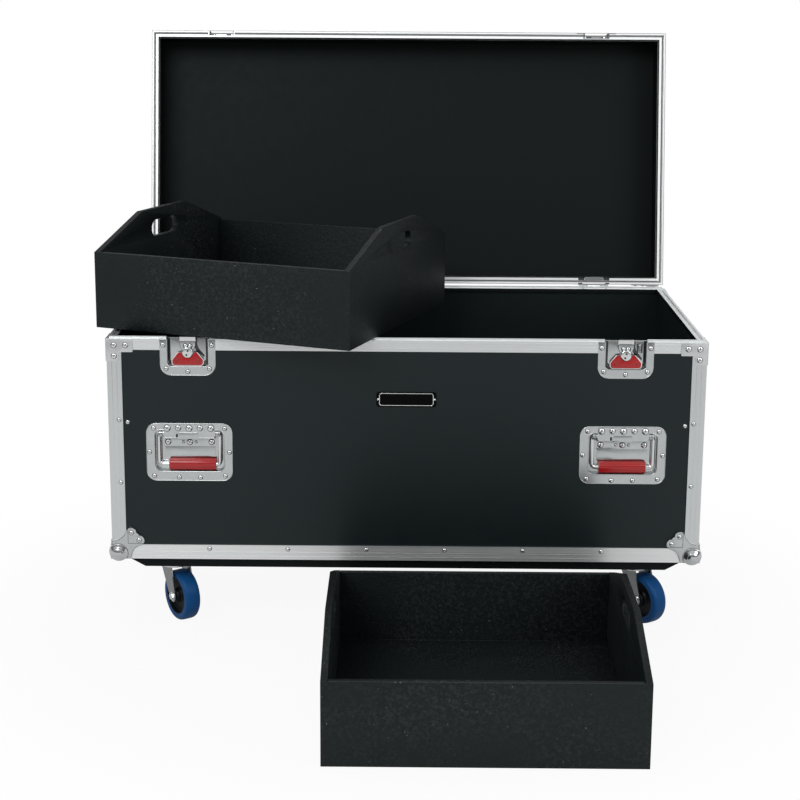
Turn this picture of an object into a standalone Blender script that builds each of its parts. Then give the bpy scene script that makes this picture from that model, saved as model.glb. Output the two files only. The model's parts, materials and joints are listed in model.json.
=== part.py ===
"""A road trunk on casters with its lid open, and the two loose crates that pack inside it.

Metres, +Z up. The front of the case faces -Y, and the floor is Z = 0. The case stands under an
empty at its front face, mid length, so the sizes below are measured from that face and the floor.
"""

import math

import bmesh
import bpy
from mathutils import Matrix, Vector

# Case, over its edge extrusions
CASE_LENGTH = 1.143
CASE_DEPTH = 0.559
BODY_HEIGHT = 0.440
LID_HEIGHT = 0.100
LID_OPEN = math.radians(100)
CASE_X = 0.0125
CASE_FRONT_Y = -0.0945
GAP = 0.0003

# Plywood
WALL = 0.012
BOARD_THICK = 0.018
BOARD_INSET = 0.008
BOARD_END_INSET = 0.030
BOARD_BEVEL = 0.033

# Aluminium extrusions: each leg's width, and the thickness of all of them
EDGE_THICK = 0.002
EDGE_LEG = 0.028
BASE_LEG = 0.029
RIM_FACE = 0.022
RIM_INNER_LEG = 0.010
LID_RIM_HEIGHT = 0.0075
LID_RIM_INNER_LEG = 0.0115
TONGUE_IN = 0.005
TONGUE_WIDE = 0.003
TONGUE_HIGH = 0.004
GROOVE_SIDE = 0.001
GROOVE_OVER = 0.0015
SEAM = 0.0005

# Corner hardware
BALL_RADIUS = 0.018
BALL_INSET = 0.0105
BALL_PROUD = 0.0075
BALL_KEPT_IN = 0.0015
BALL_ROUND = 12
BALL_RINGS = 8
BALL_FLANGE_THICK = 0.0012
LOBE_NEAR = 0.0375
LOBE_FAR = 0.053
LOBE_RADIUS = 0.0105
WEB_START = 0.036
WEB_HOLLOW = 0.0035
BRACE_LONG = 0.048
BRACE_TALL = 0.044
BRACE_ARM = 0.0225
BRACE_THICK = 0.0012
BRACE_LAP = 0.004
EDGE_FOOT = 0.005

# Sheet metal dishes let into the panels
SHEET = 0.0012
DISH_PLANE = 0.0022
DISH_FIT = 0.0006
LATCH_END_IN = 0.1545
LATCH_FLANGE_HALF = 0.053
LATCH_FLANGE_DOWN = 0.072
LATCH_RECESS_HALF = 0.039
LATCH_RECESS_DOWN = 0.054
LATCH_DEPTH = 0.0115
LATCH_CORNER = 0.021
LATCH_RECESS_CORNER = 0.008
KEEPER_FLANGE_HALF = 0.043
KEEPER_FLANGE_UP = 0.046
KEEPER_RECESS_HALF = 0.0275
KEEPER_RECESS_UP = 0.032
KEEPER_CORNER = 0.009

# Latch works: a disc that turns, a hook that tips in over the lid's strike, and a folding wing
DISC_DOWN = 0.0265
DISC_RADIUS = 0.010
DISC_FRONT = -0.0015
DISC_THICK = 0.003
SPINDLE_RADIUS = 0.0045
WING_HALF = 0.029
WING_LONG = 0.0245
WING_CORNER = 0.005
WING_SHOULDER = 0.017
WING_FLARE = 0.0135
WING_BACK = 0.0007
WING_THICK = 0.0022
WING_NOTCH_FIT = 0.001
HOOK_HALF = 0.015
HOOK_TOP = 0.004
HOOK_FRONT = 0.006
HOOK_THICK = 0.002
HOOK_LIP_THICK = 0.0015
HOOK_LIP_REACH = 0.003
HOOK_PIVOT_DOWN = 0.0105
HOOK_FOOT_RADIUS = 0.0016
HOOK_TIP = math.radians(12)
STRIKE_HALF = 0.011
STRIKE_UP = 0.0018
STRIKE_REACH = 0.0029

# Spring handles
HANDLE_END_IN = 0.1545
HANDLE_DOWN = 0.2237
HANDLE_FLANGE = (0.166, 0.115)
HANDLE_FLANGE_CORNER = 0.019
HANDLE_RECESS = (0.133, 0.082)
HANDLE_RECESS_UP = 0.0025
HANDLE_RECESS_CORNER = 0.012
HANDLE_DEPTH = 0.0128
BAIL_PIVOT_UP = 0.036
BAIL_AXIS_IN = 0.0060
BAIL_HALF = 0.0585
BAIL_LONG = 0.061
BAIL_ROD = 0.0085
BAIL_BEND = 0.007
BAIL_SIDES = 3
BAIL_STUB = 0.024
GRIP_SIDES = 16
GRIP_LONG = 0.091
GRIP_HIGH = 0.023
GRIP_THICK = 0.0125
GRIP_BORE_FIT = 0.0002
GRIP_SLIP = 0.0055
BRACKET_HALF = 0.049
BRACKET_TOP = 0.0555
BRACKET_BOTTOM = 0.028
BRACKET_FRONT = -0.0004
BRACKET_CORNER = 0.006

# Name plate, left bare
NAME_PLATE = (0.115, 0.029)
NAME_PLATE_DOWN = 0.116
NAME_PLATE_THICK = 0.0015
NAME_PLATE_CORNER = 0.005

# Back hinges
HINGE_END_IN = 0.1545
HINGE_WIDE = 0.064
HINGE_LEAF = 0.040
HINGE_LEAF_THICK = 0.002
HINGE_AXIS_OUT = 0.006
KNUCKLE_RADIUS = 0.0052
PIN_RADIUS = 0.0025
PIN_FIT = 0.0002
PIN_SHORT = 0.002
KNUCKLE_GAP = 0.0006
LID_KNUCKLE = 0.026
KNUCKLE_LAP = 0.4

# Casters
CASTER_HEIGHT = 0.124
CASTER_END_IN = 0.1115
CASTER_IN = 0.075
CASTER_SWIVEL = math.radians(35)
CASTER_TRAIL = 0.028
CASTER_PLATE = (0.095, 0.085, 0.003)
RACE_RADIUS = 0.028
RACE_HIGH = 0.008
CROWN_RADIUS = 0.032
CROWN_THICK = 0.004
FORK_INSIDE = 0.038
FORK_THICK = 0.003
FORK_TOP_HALF = 0.022
FORK_FOOT_RADIUS = 0.012
WHEEL_RADIUS = 0.050
WHEEL_WIDE = 0.032
TREAD_EDGE = 0.004
WHEEL_RIM_RADIUS = 0.036
WHEEL_WEB_HALF = 0.005
WHEEL_HUB_RADIUS = 0.013
WHEEL_HUB_WIDE = 0.037
AXLE_RADIUS = 0.0040
AXLE_FIT = 0.0003
AXLE_PAST = 0.002
WHEEL_STEPS = 24

# Loose crates
CRATE_WIDE = 0.536
CRATE_DEEP = 0.508
CRATE_WALL_HIGH = 0.148
CRATE_END_HIGH = 0.2065
CRATE_SHOULDER_IN = 0.164
CRATE_PLY = 0.012
HAND_HOLE = (0.105, 0.034)
HAND_HOLE_CORNER = 0.0165
HAND_HOLE_UP = 0.166
UPPER_CRATE_TURN = math.radians(-21.2)
UPPER_CRATE_PAST_END = 0.0325
UPPER_CRATE_BACK_IN = 0.0049
LOWER_CRATE_END_IN = 0.1713
LOWER_CRATE_CLEAR = 0.070

# Derived levels, from the floor
BOARD_Z = CASTER_HEIGHT + GAP
BODY_Z = BOARD_Z + BOARD_THICK + GAP
RIM_Z = BODY_Z + BODY_HEIGHT
LID_Z = RIM_Z + SEAM
LID_TOP = RIM_Z + LID_HEIGHT
SKIN_IN = EDGE_THICK + GAP
INNER_IN = SKIN_IN + WALL
RIM_WIDE = INNER_IN + GAP + EDGE_THICK
PANEL_TOP = RIM_Z - EDGE_THICK - GAP
FLOOR_TOP = BODY_Z + SKIN_IN + WALL
HINGE_Y = CASE_DEPTH + HINGE_AXIS_OUT
HINGE_Z = RIM_Z + SEAM / 2

# Derived places along the case, from its middle
LATCH_X = CASE_LENGTH / 2 - LATCH_END_IN
HANDLE_X = CASE_LENGTH / 2 - HANDLE_END_IN
HINGE_X = CASE_LENGTH / 2 - HINGE_END_IN
CASTER_X = CASE_LENGTH / 2 - CASTER_END_IN
UPPER_CRATE_AT = (
    -CASE_LENGTH / 2 - UPPER_CRATE_PAST_END,
    CASE_DEPTH - UPPER_CRATE_BACK_IN - CRATE_DEEP * math.cos(UPPER_CRATE_TURN),
)
LOWER_CRATE_AT = (
    CASE_LENGTH / 2 - LOWER_CRATE_END_IN - CRATE_WIDE,
    -LOWER_CRATE_CLEAR - CRATE_DEEP,
)

ARC_STEPS = 4
LOBE_STEPS = 6
BIG = 0.2
OVERLAP = 0.001
CUT_PAST = 0.005

FRONT = Matrix.Rotation(math.pi / 2, 4, "X")
BACK = Matrix.Rotation(math.pi, 4, "Z") @ FRONT
LEFT = Matrix.Rotation(-math.pi / 2, 4, "Z") @ FRONT
RIGHT = Matrix.Rotation(math.pi / 2, 4, "Z") @ FRONT


def clear_scene():
    for thing in list(bpy.data.objects):
        bpy.data.objects.remove(thing, do_unlink=True)


def collection(name):
    made = bpy.data.collections.new(name)
    bpy.context.scene.collection.children.link(made)
    return made


def material(name, colour, roughness, metallic=0.0):
    made = bpy.data.materials.new(name)
    made.use_nodes = True
    shader = made.node_tree.nodes["Principled BSDF"]
    shader.inputs["Base Color"].default_value = (*colour, 1)
    shader.inputs["Roughness"].default_value = roughness
    shader.inputs["Metallic"].default_value = metallic
    return made


clear_scene()
PARTS = collection("road_trunk")
CUTTERS = collection("cutters")
LAMINATE = material("laminate", (0.018, 0.024, 0.026), 0.45)
CRATE_PAINT = material("crate_paint", (0.014, 0.017, 0.018), 0.75)
ALUMINIUM = material("aluminium", (0.62, 0.65, 0.65), 0.35, 1.0)
ZINC = material("zinc_steel", (0.58, 0.60, 0.60), 0.28, 1.0)
DISH_STEEL = material("dish_steel", (0.60, 0.62, 0.62), 0.32, 1.0)
RED = material("red_plastic", (0.50, 0.02, 0.02), 0.45)
PLATE_BLACK = material("plate_black", (0.010, 0.010, 0.011), 0.35)
BLUE = material("blue_tread", (0.010, 0.055, 0.14), 0.50)


def empty(name, parent=None, at=(0, 0, 0), turn=(0, 0, 0)):
    made = bpy.data.objects.new(name, None)
    made.location = at
    made.rotation_euler = turn
    made.parent = parent
    PARTS.objects.link(made)
    return made


def object_of(name, bm, look, parent, smooth=False):
    """The bmesh as a named object in the parts' collection."""
    bmesh.ops.recalc_face_normals(bm, faces=bm.faces)
    mesh = bpy.data.meshes.new(name)
    bm.to_mesh(mesh)
    bm.free()
    if smooth:
        mesh.shade_smooth()
        mesh.set_sharp_from_angle(angle=math.radians(40))
    if look:
        mesh.materials.append(look)
    made = bpy.data.objects.new(name, mesh)
    made.parent = parent
    PARTS.objects.link(made)
    return made


def helper(thing):
    """Makes an object a cutter, or a shape that another object is joined with."""
    PARTS.objects.unlink(thing)
    CUTTERS.objects.link(thing)
    thing.hide_render = True
    thing.display_type = "WIRE"
    return thing


def combine(thing, other, how, solver):
    step = thing.modifiers.new(how.lower(), "BOOLEAN")
    step.operation = how
    step.solver = solver
    step.object = helper(other)


def cut(thing, *others, solver="EXACT"):
    for other in others:
        combine(thing, other, "DIFFERENCE", solver)


def join(thing, *others, solver="EXACT"):
    for other in others:
        combine(thing, other, "UNION", solver)


def box(name, low, high, look=None, parent=None):
    bm = bmesh.new()
    bmesh.ops.create_cube(bm, size=1)
    low, high = Vector(low), Vector(high)
    bmesh.ops.scale(bm, vec=high - low, verts=bm.verts)
    bmesh.ops.translate(bm, vec=(low + high) / 2, verts=bm.verts)
    return object_of(name, bm, look, parent)


def rounded(width, height, radius, centre=(0, 0)):
    """A rectangle's outline with round corners, anticlockwise."""
    points = []
    for quarter, (sx, sy) in enumerate(((1, 1), (-1, 1), (-1, -1), (1, -1))):
        x = centre[0] + sx * (width / 2 - radius)
        y = centre[1] + sy * (height / 2 - radius)
        points += arc((x, y), radius, quarter * math.pi / 2, (quarter + 1) * math.pi / 2)
    return points


def arc(centre, radius, start, end, steps=ARC_STEPS):
    return [
        (
            centre[0] + radius * math.cos(start + (end - start) * i / steps),
            centre[1] + radius * math.sin(start + (end - start) * i / steps),
        )
        for i in range(steps + 1)
    ]


def plate(name, outline, near, far, face, look=None, parent=None, at=(0, 0, 0)):
    """A flat outline given thickness. Near and far are depths behind the face that it is seen on."""
    curve = bpy.data.curves.new(name, "CURVE")
    curve.dimensions = "2D"
    curve.fill_mode = "BOTH"
    curve.extrude = (far - near) / 2
    spline = curve.splines.new("POLY")
    spline.points.add(len(outline) - 1)
    for point, (x, y) in zip(spline.points, outline):
        point.co = (x, y, 0, 1)
    spline.use_cyclic_u = True
    drawn = bpy.data.objects.new(name + "_outline", curve)
    bm = meshed(drawn)
    bmesh.ops.translate(bm, vec=(0, 0, -(near + far) / 2), verts=bm.verts)
    bmesh.ops.transform(bm, matrix=Matrix.Translation(at) @ face, verts=bm.verts)
    return object_of(name, bm, look, parent)


def meshed(drawn):
    """A curve object as a welded bmesh. The curve is removed."""
    PARTS.objects.link(drawn)
    graph = bpy.context.evaluated_depsgraph_get()
    mesh = bpy.data.meshes.new_from_object(drawn.evaluated_get(graph))
    bm = bmesh.new()
    bm.from_mesh(mesh)
    bmesh.ops.remove_doubles(bm, verts=bm.verts, dist=1e-6)
    bpy.data.meshes.remove(mesh)
    bpy.data.objects.remove(drawn, do_unlink=True)
    return bm


def rod(name, points, diameter, look, parent, sides=2):
    """A round bar along a line of points."""
    curve = bpy.data.curves.new(name, "CURVE")
    curve.dimensions = "3D"
    curve.bevel_depth = diameter / 2
    curve.bevel_resolution = sides
    curve.use_fill_caps = True
    spline = curve.splines.new("POLY")
    spline.points.add(len(points) - 1)
    for point, place in zip(spline.points, points):
        point.co = (*place, 1)
    bm = meshed(bpy.data.objects.new(name + "_line", curve))
    return object_of(name, bm, look, parent, smooth=True)


def cylinder(name, radius, start, end, look=None, parent=None, segments=16):
    """A round bar from one point to another."""
    start, end = Vector(start), Vector(end)
    bm = bmesh.new()
    bmesh.ops.create_cone(
        bm,
        cap_ends=True,
        segments=segments,
        radius1=radius,
        radius2=radius,
        depth=(end - start).length,
    )
    turn = (end - start).to_track_quat("Z", "Y").to_matrix().to_4x4()
    place = Matrix.Translation((start + end) / 2) @ turn
    bmesh.ops.transform(bm, matrix=place, verts=bm.verts)
    return object_of(name, bm, look, parent, smooth=True)


def ball(name, centre, parent=None):
    bm = bmesh.new()
    bmesh.ops.create_uvsphere(bm, u_segments=BALL_ROUND, v_segments=BALL_RINGS, radius=BALL_RADIUS)
    bmesh.ops.translate(bm, vec=centre, verts=bm.verts)
    return object_of(name, bm, None, parent, smooth=True)


def ring(name, profile, look, parent):
    """A section carried round the case with mitred corners. Each profile point is how far in
    from the case's outer faces it lies, and its height."""
    half = CASE_LENGTH / 2
    bm = bmesh.new()
    corners = ((-1, 0), (1, 0), (1, 1), (-1, 1))
    sections = []
    for side, end in corners:
        section = []
        for inward, height in profile:
            x = side * (half - inward)
            y = CASE_DEPTH - inward if end else inward
            section.append(bm.verts.new((x, y, height)))
        sections.append(section)
    for i, section in enumerate(sections):
        following = sections[(i + 1) % len(sections)]
        for j in range(len(profile)):
            k = (j + 1) % len(profile)
            bm.faces.new((section[j], section[k], following[k], following[j]))
    return object_of(name, bm, look, parent)


def corner_places():
    """Each corner's name, its place and the signs that point into the case from there."""
    half = CASE_LENGTH / 2
    return (
        ("front_left", -half, 0.0, 1, 1),
        ("front_right", half, 0.0, -1, 1),
        ("back_left", -half, CASE_DEPTH, 1, -1),
        ("back_right", half, CASE_DEPTH, -1, -1),
    )


def make_panels(case):
    half = CASE_LENGTH / 2
    low = BODY_Z + SKIN_IN
    wide = half - SKIN_IN
    front = box("front_panel", (-wide, SKIN_IN, low), (wide, INNER_IN, PANEL_TOP), LAMINATE, case)
    near, far = CASE_DEPTH - INNER_IN, CASE_DEPTH - SKIN_IN
    box("back_panel", (-wide, near, low), (wide, far, PANEL_TOP), LAMINATE, case)
    ends = []
    for name, side in (("left_panel", -1), ("right_panel", 1)):
        outer, inner = side * wide, side * (half - INNER_IN)
        start, stop = min(outer, inner), max(outer, inner)
        corner = (start, INNER_IN + GAP, low)
        ends.append(box(name, corner, (stop, near - GAP, PANEL_TOP), LAMINATE, case))
    inside = half - INNER_IN - GAP
    corner = (-inside, INNER_IN + GAP, low)
    box("floor_panel", corner, (inside, near - GAP, FLOOR_TOP), LAMINATE, case)
    return front, ends


def make_caster_board(case):
    top = CASE_LENGTH / 2 - BOARD_END_INSET
    bottom = top - BOARD_BEVEL
    high = BOARD_Z + BOARD_THICK
    outline = [(-bottom, BOARD_Z), (bottom, BOARD_Z), (top, high), (-top, high)]
    plate("caster_board", outline, BOARD_INSET, CASE_DEPTH - BOARD_INSET, FRONT, LAMINATE, case)


def flange_outline():
    """One leaf of a ball corner, drawn from the corner: a web with hollow sides and two round lobes."""
    diagonal = math.radians(135)
    first = arc((LOBE_FAR, LOBE_NEAR), LOBE_RADIUS, -math.pi / 2, diagonal, LOBE_STEPS)
    second = arc((LOBE_NEAR, LOBE_FAR), LOBE_RADIUS, diagonal - math.pi, math.pi, LOBE_STEPS)
    low_end, high_start = Vector(first[0]), Vector((WEB_START, GAP))
    web = []
    for i in range(ARC_STEPS):
        t = i / ARC_STEPS
        point = high_start.lerp(low_end, t)
        bend = WEB_HOLLOW * math.sin(math.pi * t)
        web.append((point.x - bend, point.y + bend))
    mirrored = [(y, x) for x, y in reversed(web)]
    return [(GAP, GAP), *web, *first, *second, *mirrored]


def on_corner(outline, x_sign, y_sign):
    """A corner outline turned for its corner, kept anticlockwise."""
    turned = [(x * x_sign, y * y_sign) for x, y in outline]
    return turned if x_sign * y_sign > 0 else turned[::-1]


def ball_corner(tag, x, y, into_x, into_y, z, into_z, parent, cap):
    """The ball and its leaves at one corner, as shapes to join. The ball stops at the panels."""
    deep = BALL_RADIUS - BALL_PROUD
    centre = (x + into_x * BALL_INSET, y + into_y * BALL_INSET, z + into_z * deep)
    near, far = -(GAP + BALL_FLANGE_THICK), -GAP
    shapes = [ball(f"{tag}_ball", centre, parent)]
    starts = [place + into * BALL_KEPT_IN for place, into in ((x, into_x), (y, into_y), (z, into_z))]
    ends = [place + into * BIG for place, into in ((x, into_x), (y, into_y), (z, into_z))]
    low = [min(pair) for pair in zip(starts, ends)]
    high = [max(pair) for pair in zip(starts, ends)]
    cut(shapes[0], box(f"{tag}_ball_room", low, high, None, parent))
    leaf = flange_outline()
    face = FRONT if into_y > 0 else BACK
    seen = into_x if into_y > 0 else -into_x
    shapes.append(
        plate(f"{tag}_leaf_y", on_corner(leaf, seen, into_z), near, far, face, None, parent, (x, y, z))
    )
    face = LEFT if into_x > 0 else RIGHT
    seen = -into_y if into_x > 0 else into_y
    shapes.append(
        plate(f"{tag}_leaf_x", on_corner(leaf, seen, into_z), near, far, face, None, parent, (x, y, z))
    )
    if cap:
        flat = Matrix.Identity(4)
        shapes.append(
            plate(f"{tag}_leaf_z", on_corner(leaf, into_x, into_y), near, far, flat, None, parent, (x, y, z))
        )
    return shapes


def make_bottom_frame(case):
    top = BODY_Z + BASE_LEG
    inner = BODY_Z + EDGE_THICK
    profile = [
        (0, BODY_Z),
        (BASE_LEG, BODY_Z),
        (BASE_LEG, inner),
        (EDGE_THICK, inner),
        (EDGE_THICK, top),
        (0, top),
    ]
    frame = ring("bottom_frame", profile, ALUMINIUM, case)
    for name, x, y, into_x, into_y in corner_places():
        join(frame, *ball_corner(f"base_{name}", x, y, into_x, into_y, BODY_Z, 1, case, False))


def angle_bar(name, corner, far, near, deep, low, high, look, parent):
    """An upright L section set on a corner of the case. Near and deep are how far inside the
    case's outer faces its own outer and inner faces lie."""
    x, y, into_x, into_y = corner
    shape = [(near, near), (far, near), (far, deep), (deep, deep), (deep, far), (near, far)]
    flat = Matrix.Identity(4)
    return plate(name, on_corner(shape, into_x, into_y), -high, -low, flat, look, parent, (x, y, 0))


def make_corner_edges(case):
    """The upright extrusions, each with the brace that ties it to the rim."""
    low = BODY_Z + BASE_LEG + EDGE_FOOT
    high = RIM_Z - RIM_FACE - GAP
    out = -GAP - BRACE_THICK
    for name, *corner in corner_places():
        edge = angle_bar(f"corner_edge_{name}", corner, EDGE_LEG, 0, EDGE_THICK, low, high, ALUMINIUM, case)
        start, stop = RIM_Z - BRACE_TALL, high - OVERLAP / 2
        foot = angle_bar(
            f"brace_foot_{name}", corner, BRACE_ARM, out, EDGE_THICK / 2, start, stop, None, case
        )
        start, stop = high - BRACE_LAP, RIM_Z - GAP
        arm = angle_bar(f"brace_arm_{name}", corner, BRACE_LONG, out, -GAP, start, stop, None, case)
        join(edge, foot, arm)


def notch_rim(rim, name, x, flange_half, recess_half, parent):
    """Room in a rim for a dish on the front: wide at the face for its flange, narrower for its tub."""
    steps = (("face", flange_half, DISH_PLANE), ("tub", recess_half + SHEET, LATCH_DEPTH + SHEET))
    for tag, half, deep in steps:
        low = (x - half - GAP, -GAP, RIM_Z - BIG)
        high = (x + half + GAP, deep + GAP, RIM_Z + BIG)
        cut(rim, box(f"{name}_{tag}", low, high, None, parent))


def make_body_rim(case):
    """The lower half of the closure: a channel over the panels' edges with a raised tongue."""
    face, under = RIM_Z - RIM_FACE, RIM_Z - EDGE_THICK
    inner = RIM_WIDE - EDGE_THICK
    tongue = TONGUE_IN + TONGUE_WIDE
    profile = [
        (0, face),
        (EDGE_THICK, face),
        (EDGE_THICK, under),
        (inner, under),
        (inner, RIM_Z - RIM_INNER_LEG),
        (RIM_WIDE, RIM_Z - RIM_INNER_LEG),
        (RIM_WIDE, RIM_Z),
        (tongue, RIM_Z),
        (tongue, RIM_Z + TONGUE_HIGH),
        (TONGUE_IN, RIM_Z + TONGUE_HIGH),
        (TONGUE_IN, RIM_Z),
        (0, RIM_Z),
    ]
    rim = ring("body_rim", profile, ALUMINIUM, case)
    for side in (-1, 1):
        notch_rim(rim, f"rim_notch_{side}", side * LATCH_X, LATCH_FLANGE_HALF, LATCH_RECESS_HALF, case)


def make_name_plate(case):
    wide, tall = NAME_PLATE
    outline = rounded(wide, tall, NAME_PLATE_CORNER)
    place = (0, 0, RIM_Z - NAME_PLATE_DOWN)
    near, far = SKIN_IN - GAP - NAME_PLATE_THICK, SKIN_IN - GAP
    plate("name_plate", outline, near, far, FRONT, PLATE_BLACK, case, place)


def dish(name, flange, tub, hollow, depth, face, at, parent):
    """A pressed dish: a flange on the panel's face and a tub let into the panel."""
    made = plate(name, flange, DISH_PLANE - SHEET, DISH_PLANE, face, DISH_STEEL, parent, at)
    pan = plate(name + "_tub", tub, DISH_PLANE - SHEET / 2, depth + SHEET, face, None, parent, at)
    join(made, pan, solver="MANIFOLD")
    void = plate(name + "_hollow", hollow, -SHEET, depth, face, None, parent, at)
    cut(made, void, solver="MANIFOLD")
    return made


def latch_outline(half, down, corner, top):
    """Square at the top and round at the bottom. It is trimmed at the rim's level later."""
    left, right = -half + corner, half - corner
    low = -down + corner
    return [
        *arc((left, low), corner, math.pi, 1.5 * math.pi),
        *arc((right, low), corner, 1.5 * math.pi, 2 * math.pi),
        (half, top),
        (-half, top),
    ]


def turned_over(outline):
    """The outline upside down, kept anticlockwise."""
    return [(x, -y) for x, y in reversed(outline)]


def make_latch(name, x, case, front):
    at = (x, 0, RIM_Z)
    corner = LATCH_RECESS_CORNER
    flange = latch_outline(LATCH_FLANGE_HALF, LATCH_FLANGE_DOWN, LATCH_CORNER, CUT_PAST)
    hollow = latch_outline(LATCH_RECESS_HALF, LATCH_RECESS_DOWN, corner, 3 * CUT_PAST)
    half, down = LATCH_RECESS_HALF + SHEET, LATCH_RECESS_DOWN + SHEET
    tub = latch_outline(half, down, corner + SHEET, 2 * CUT_PAST)
    made = dish(f"{name}_dish", flange, tub, hollow, LATCH_DEPTH, FRONT, at, case)
    trim = box(f"{name}_trim", (x - BIG, -BIG, RIM_Z), (x + BIG, BIG, RIM_Z + BIG), None, case)
    cut(made, trim, solver="MANIFOLD")
    hole = latch_outline(half + DISH_FIT, down + DISH_FIT, corner + SHEET + DISH_FIT, BIG)
    cut(front, plate(f"{name}_hole", hole, -CUT_PAST, INNER_IN + CUT_PAST, FRONT, None, case, at))

    spin = empty(f"{name}_spindle", case, (x, DISC_FRONT, RIM_Z - DISC_DOWN))
    rotor = cylinder(f"{name}_rotor", DISC_RADIUS, (0, 0, 0), (0, DISC_THICK, 0), ZINC, spin, 24)
    end = LATCH_DEPTH - GAP - DISC_FRONT
    join(rotor, cylinder(f"{name}_shank", SPINDLE_RADIUS, (0, OVERLAP, 0), (0, end, 0), None, spin))

    fold = empty(f"{name}_wing_hinge", spin, (0, WING_BACK - WING_THICK / 2 - DISC_FRONT, 0))
    corner = WING_CORNER
    notch = DISC_RADIUS + WING_NOTCH_FIT
    wing = [
        *arc((-WING_HALF + corner, -WING_LONG + corner), corner, math.pi, 1.5 * math.pi),
        *arc((WING_HALF - corner, -WING_LONG + corner), corner, 1.5 * math.pi, 2 * math.pi),
        (WING_HALF, -WING_FLARE),
        (WING_SHOULDER, 0),
        *arc((0, 0), notch, 0, -math.pi, 2 * ARC_STEPS),
        (-WING_SHOULDER, 0),
        (-WING_HALF, -WING_FLARE),
    ]
    plate(f"{name}_wing", wing, -WING_THICK / 2, WING_THICK / 2, FRONT, RED, fold)

    foot_y = LATCH_DEPTH - GAP - HOOK_FOOT_RADIUS
    tip = empty(f"{name}_hook_pivot", case, (x, foot_y, RIM_Z - HOOK_PIVOT_DOWN), (HOOK_TIP, 0, 0))
    front_y, back_y = HOOK_FRONT - foot_y, HOOK_FRONT + HOOK_THICK - foot_y
    top = HOOK_TOP + HOOK_PIVOT_DOWN
    low = -HOOK_FOOT_RADIUS
    hook = box(f"{name}_hook", (-HOOK_HALF, front_y, low), (HOOK_HALF, back_y, top), ZINC, tip)
    lip_end = back_y + HOOK_LIP_REACH
    join(
        hook,
        box(
            f"{name}_lip",
            (-HOOK_HALF, front_y + OVERLAP / 2, top - HOOK_LIP_THICK),
            (HOOK_HALF, lip_end, top),
            None,
            tip,
        ),
        box(f"{name}_neck", (-HOOK_HALF, back_y - OVERLAP, low), (HOOK_HALF, 0, 0), None, tip),
        cylinder(f"{name}_foot", HOOK_FOOT_RADIUS, (-HOOK_HALF, 0, 0), (HOOK_HALF, 0, 0), None, tip, 12),
        solver="MANIFOLD",
    )


def make_handle(name, face, at, case, panel, slip=0.0):
    """A dish in a panel, with a bail that a spring holds down and a grip that can slip along it."""
    wide, tall = HANDLE_RECESS
    centre = (0, HANDLE_RECESS_UP)
    flange = rounded(*HANDLE_FLANGE, HANDLE_FLANGE_CORNER)
    hollow = rounded(wide, tall, HANDLE_RECESS_CORNER, centre)
    outer = HANDLE_RECESS_CORNER + SHEET
    tub = rounded(wide + 2 * SHEET, tall + 2 * SHEET, outer, centre)
    room = SHEET + DISH_FIT
    hole = rounded(wide + 2 * room, tall + 2 * room, outer + DISH_FIT, centre)
    made = dish(f"{name}_dish", flange, tub, hollow, HANDLE_DEPTH, face, at, case)
    middle = (0, (BRACKET_TOP + BRACKET_BOTTOM) / 2)
    cover = rounded(2 * BRACKET_HALF, BRACKET_TOP - BRACKET_BOTTOM, BRACKET_CORNER, middle)
    join(made, plate(f"{name}_cover", cover, BRACKET_FRONT, DISH_PLANE - SHEET / 2, face, None, case, at))
    cut(panel, plate(f"{name}_hole", hole, -CUT_PAST, INNER_IN + CUT_PAST, face, None, case, at))

    pivot = Matrix.Translation(at) @ face @ Matrix.Translation((0, BAIL_PIVOT_UP, -BAIL_AXIS_IN))
    hinge = empty(f"{name}_pivot", case)
    hinge.matrix_local = pivot
    low = -BAIL_LONG
    left = [(-BAIL_STUB, 0, 0), *bail_bend(-BAIL_BEND, 0), *bail_bend(low + BAIL_BEND, math.pi / 2)]
    right = [(-x, y, z) for x, y, z in reversed(left)]
    rod(f"{name}_bail", left + right, BAIL_ROD, ZINC, hinge, BAIL_SIDES)

    bm = bmesh.new()
    bmesh.ops.create_cone(bm, cap_ends=True, segments=GRIP_SIDES, radius1=0.5, radius2=0.5, depth=GRIP_LONG)
    bmesh.ops.rotate(bm, matrix=Matrix.Rotation(math.pi / 2, 3, "Y"), verts=bm.verts)
    bmesh.ops.scale(bm, vec=(1, GRIP_HIGH, GRIP_THICK), verts=bm.verts)
    bmesh.ops.translate(bm, vec=(slip, low, 0), verts=bm.verts)
    grip = object_of(f"{name}_grip", bm, RED, hinge, smooth=True)
    bore = BAIL_ROD / 2 + GRIP_BORE_FIT
    cut(grip, cylinder(f"{name}_bore", bore, (-GRIP_LONG, low, 0), (GRIP_LONG, low, 0), None, hinge))


def bail_bend(height, turned):
    """The line of the rod round one of the bail's two left corners."""
    centre = (BAIL_BEND - BAIL_HALF, height)
    start = math.pi / 2 + turned
    return [(x, y, 0) for x, y in arc(centre, BAIL_BEND, start, start + math.pi / 2)]


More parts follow.
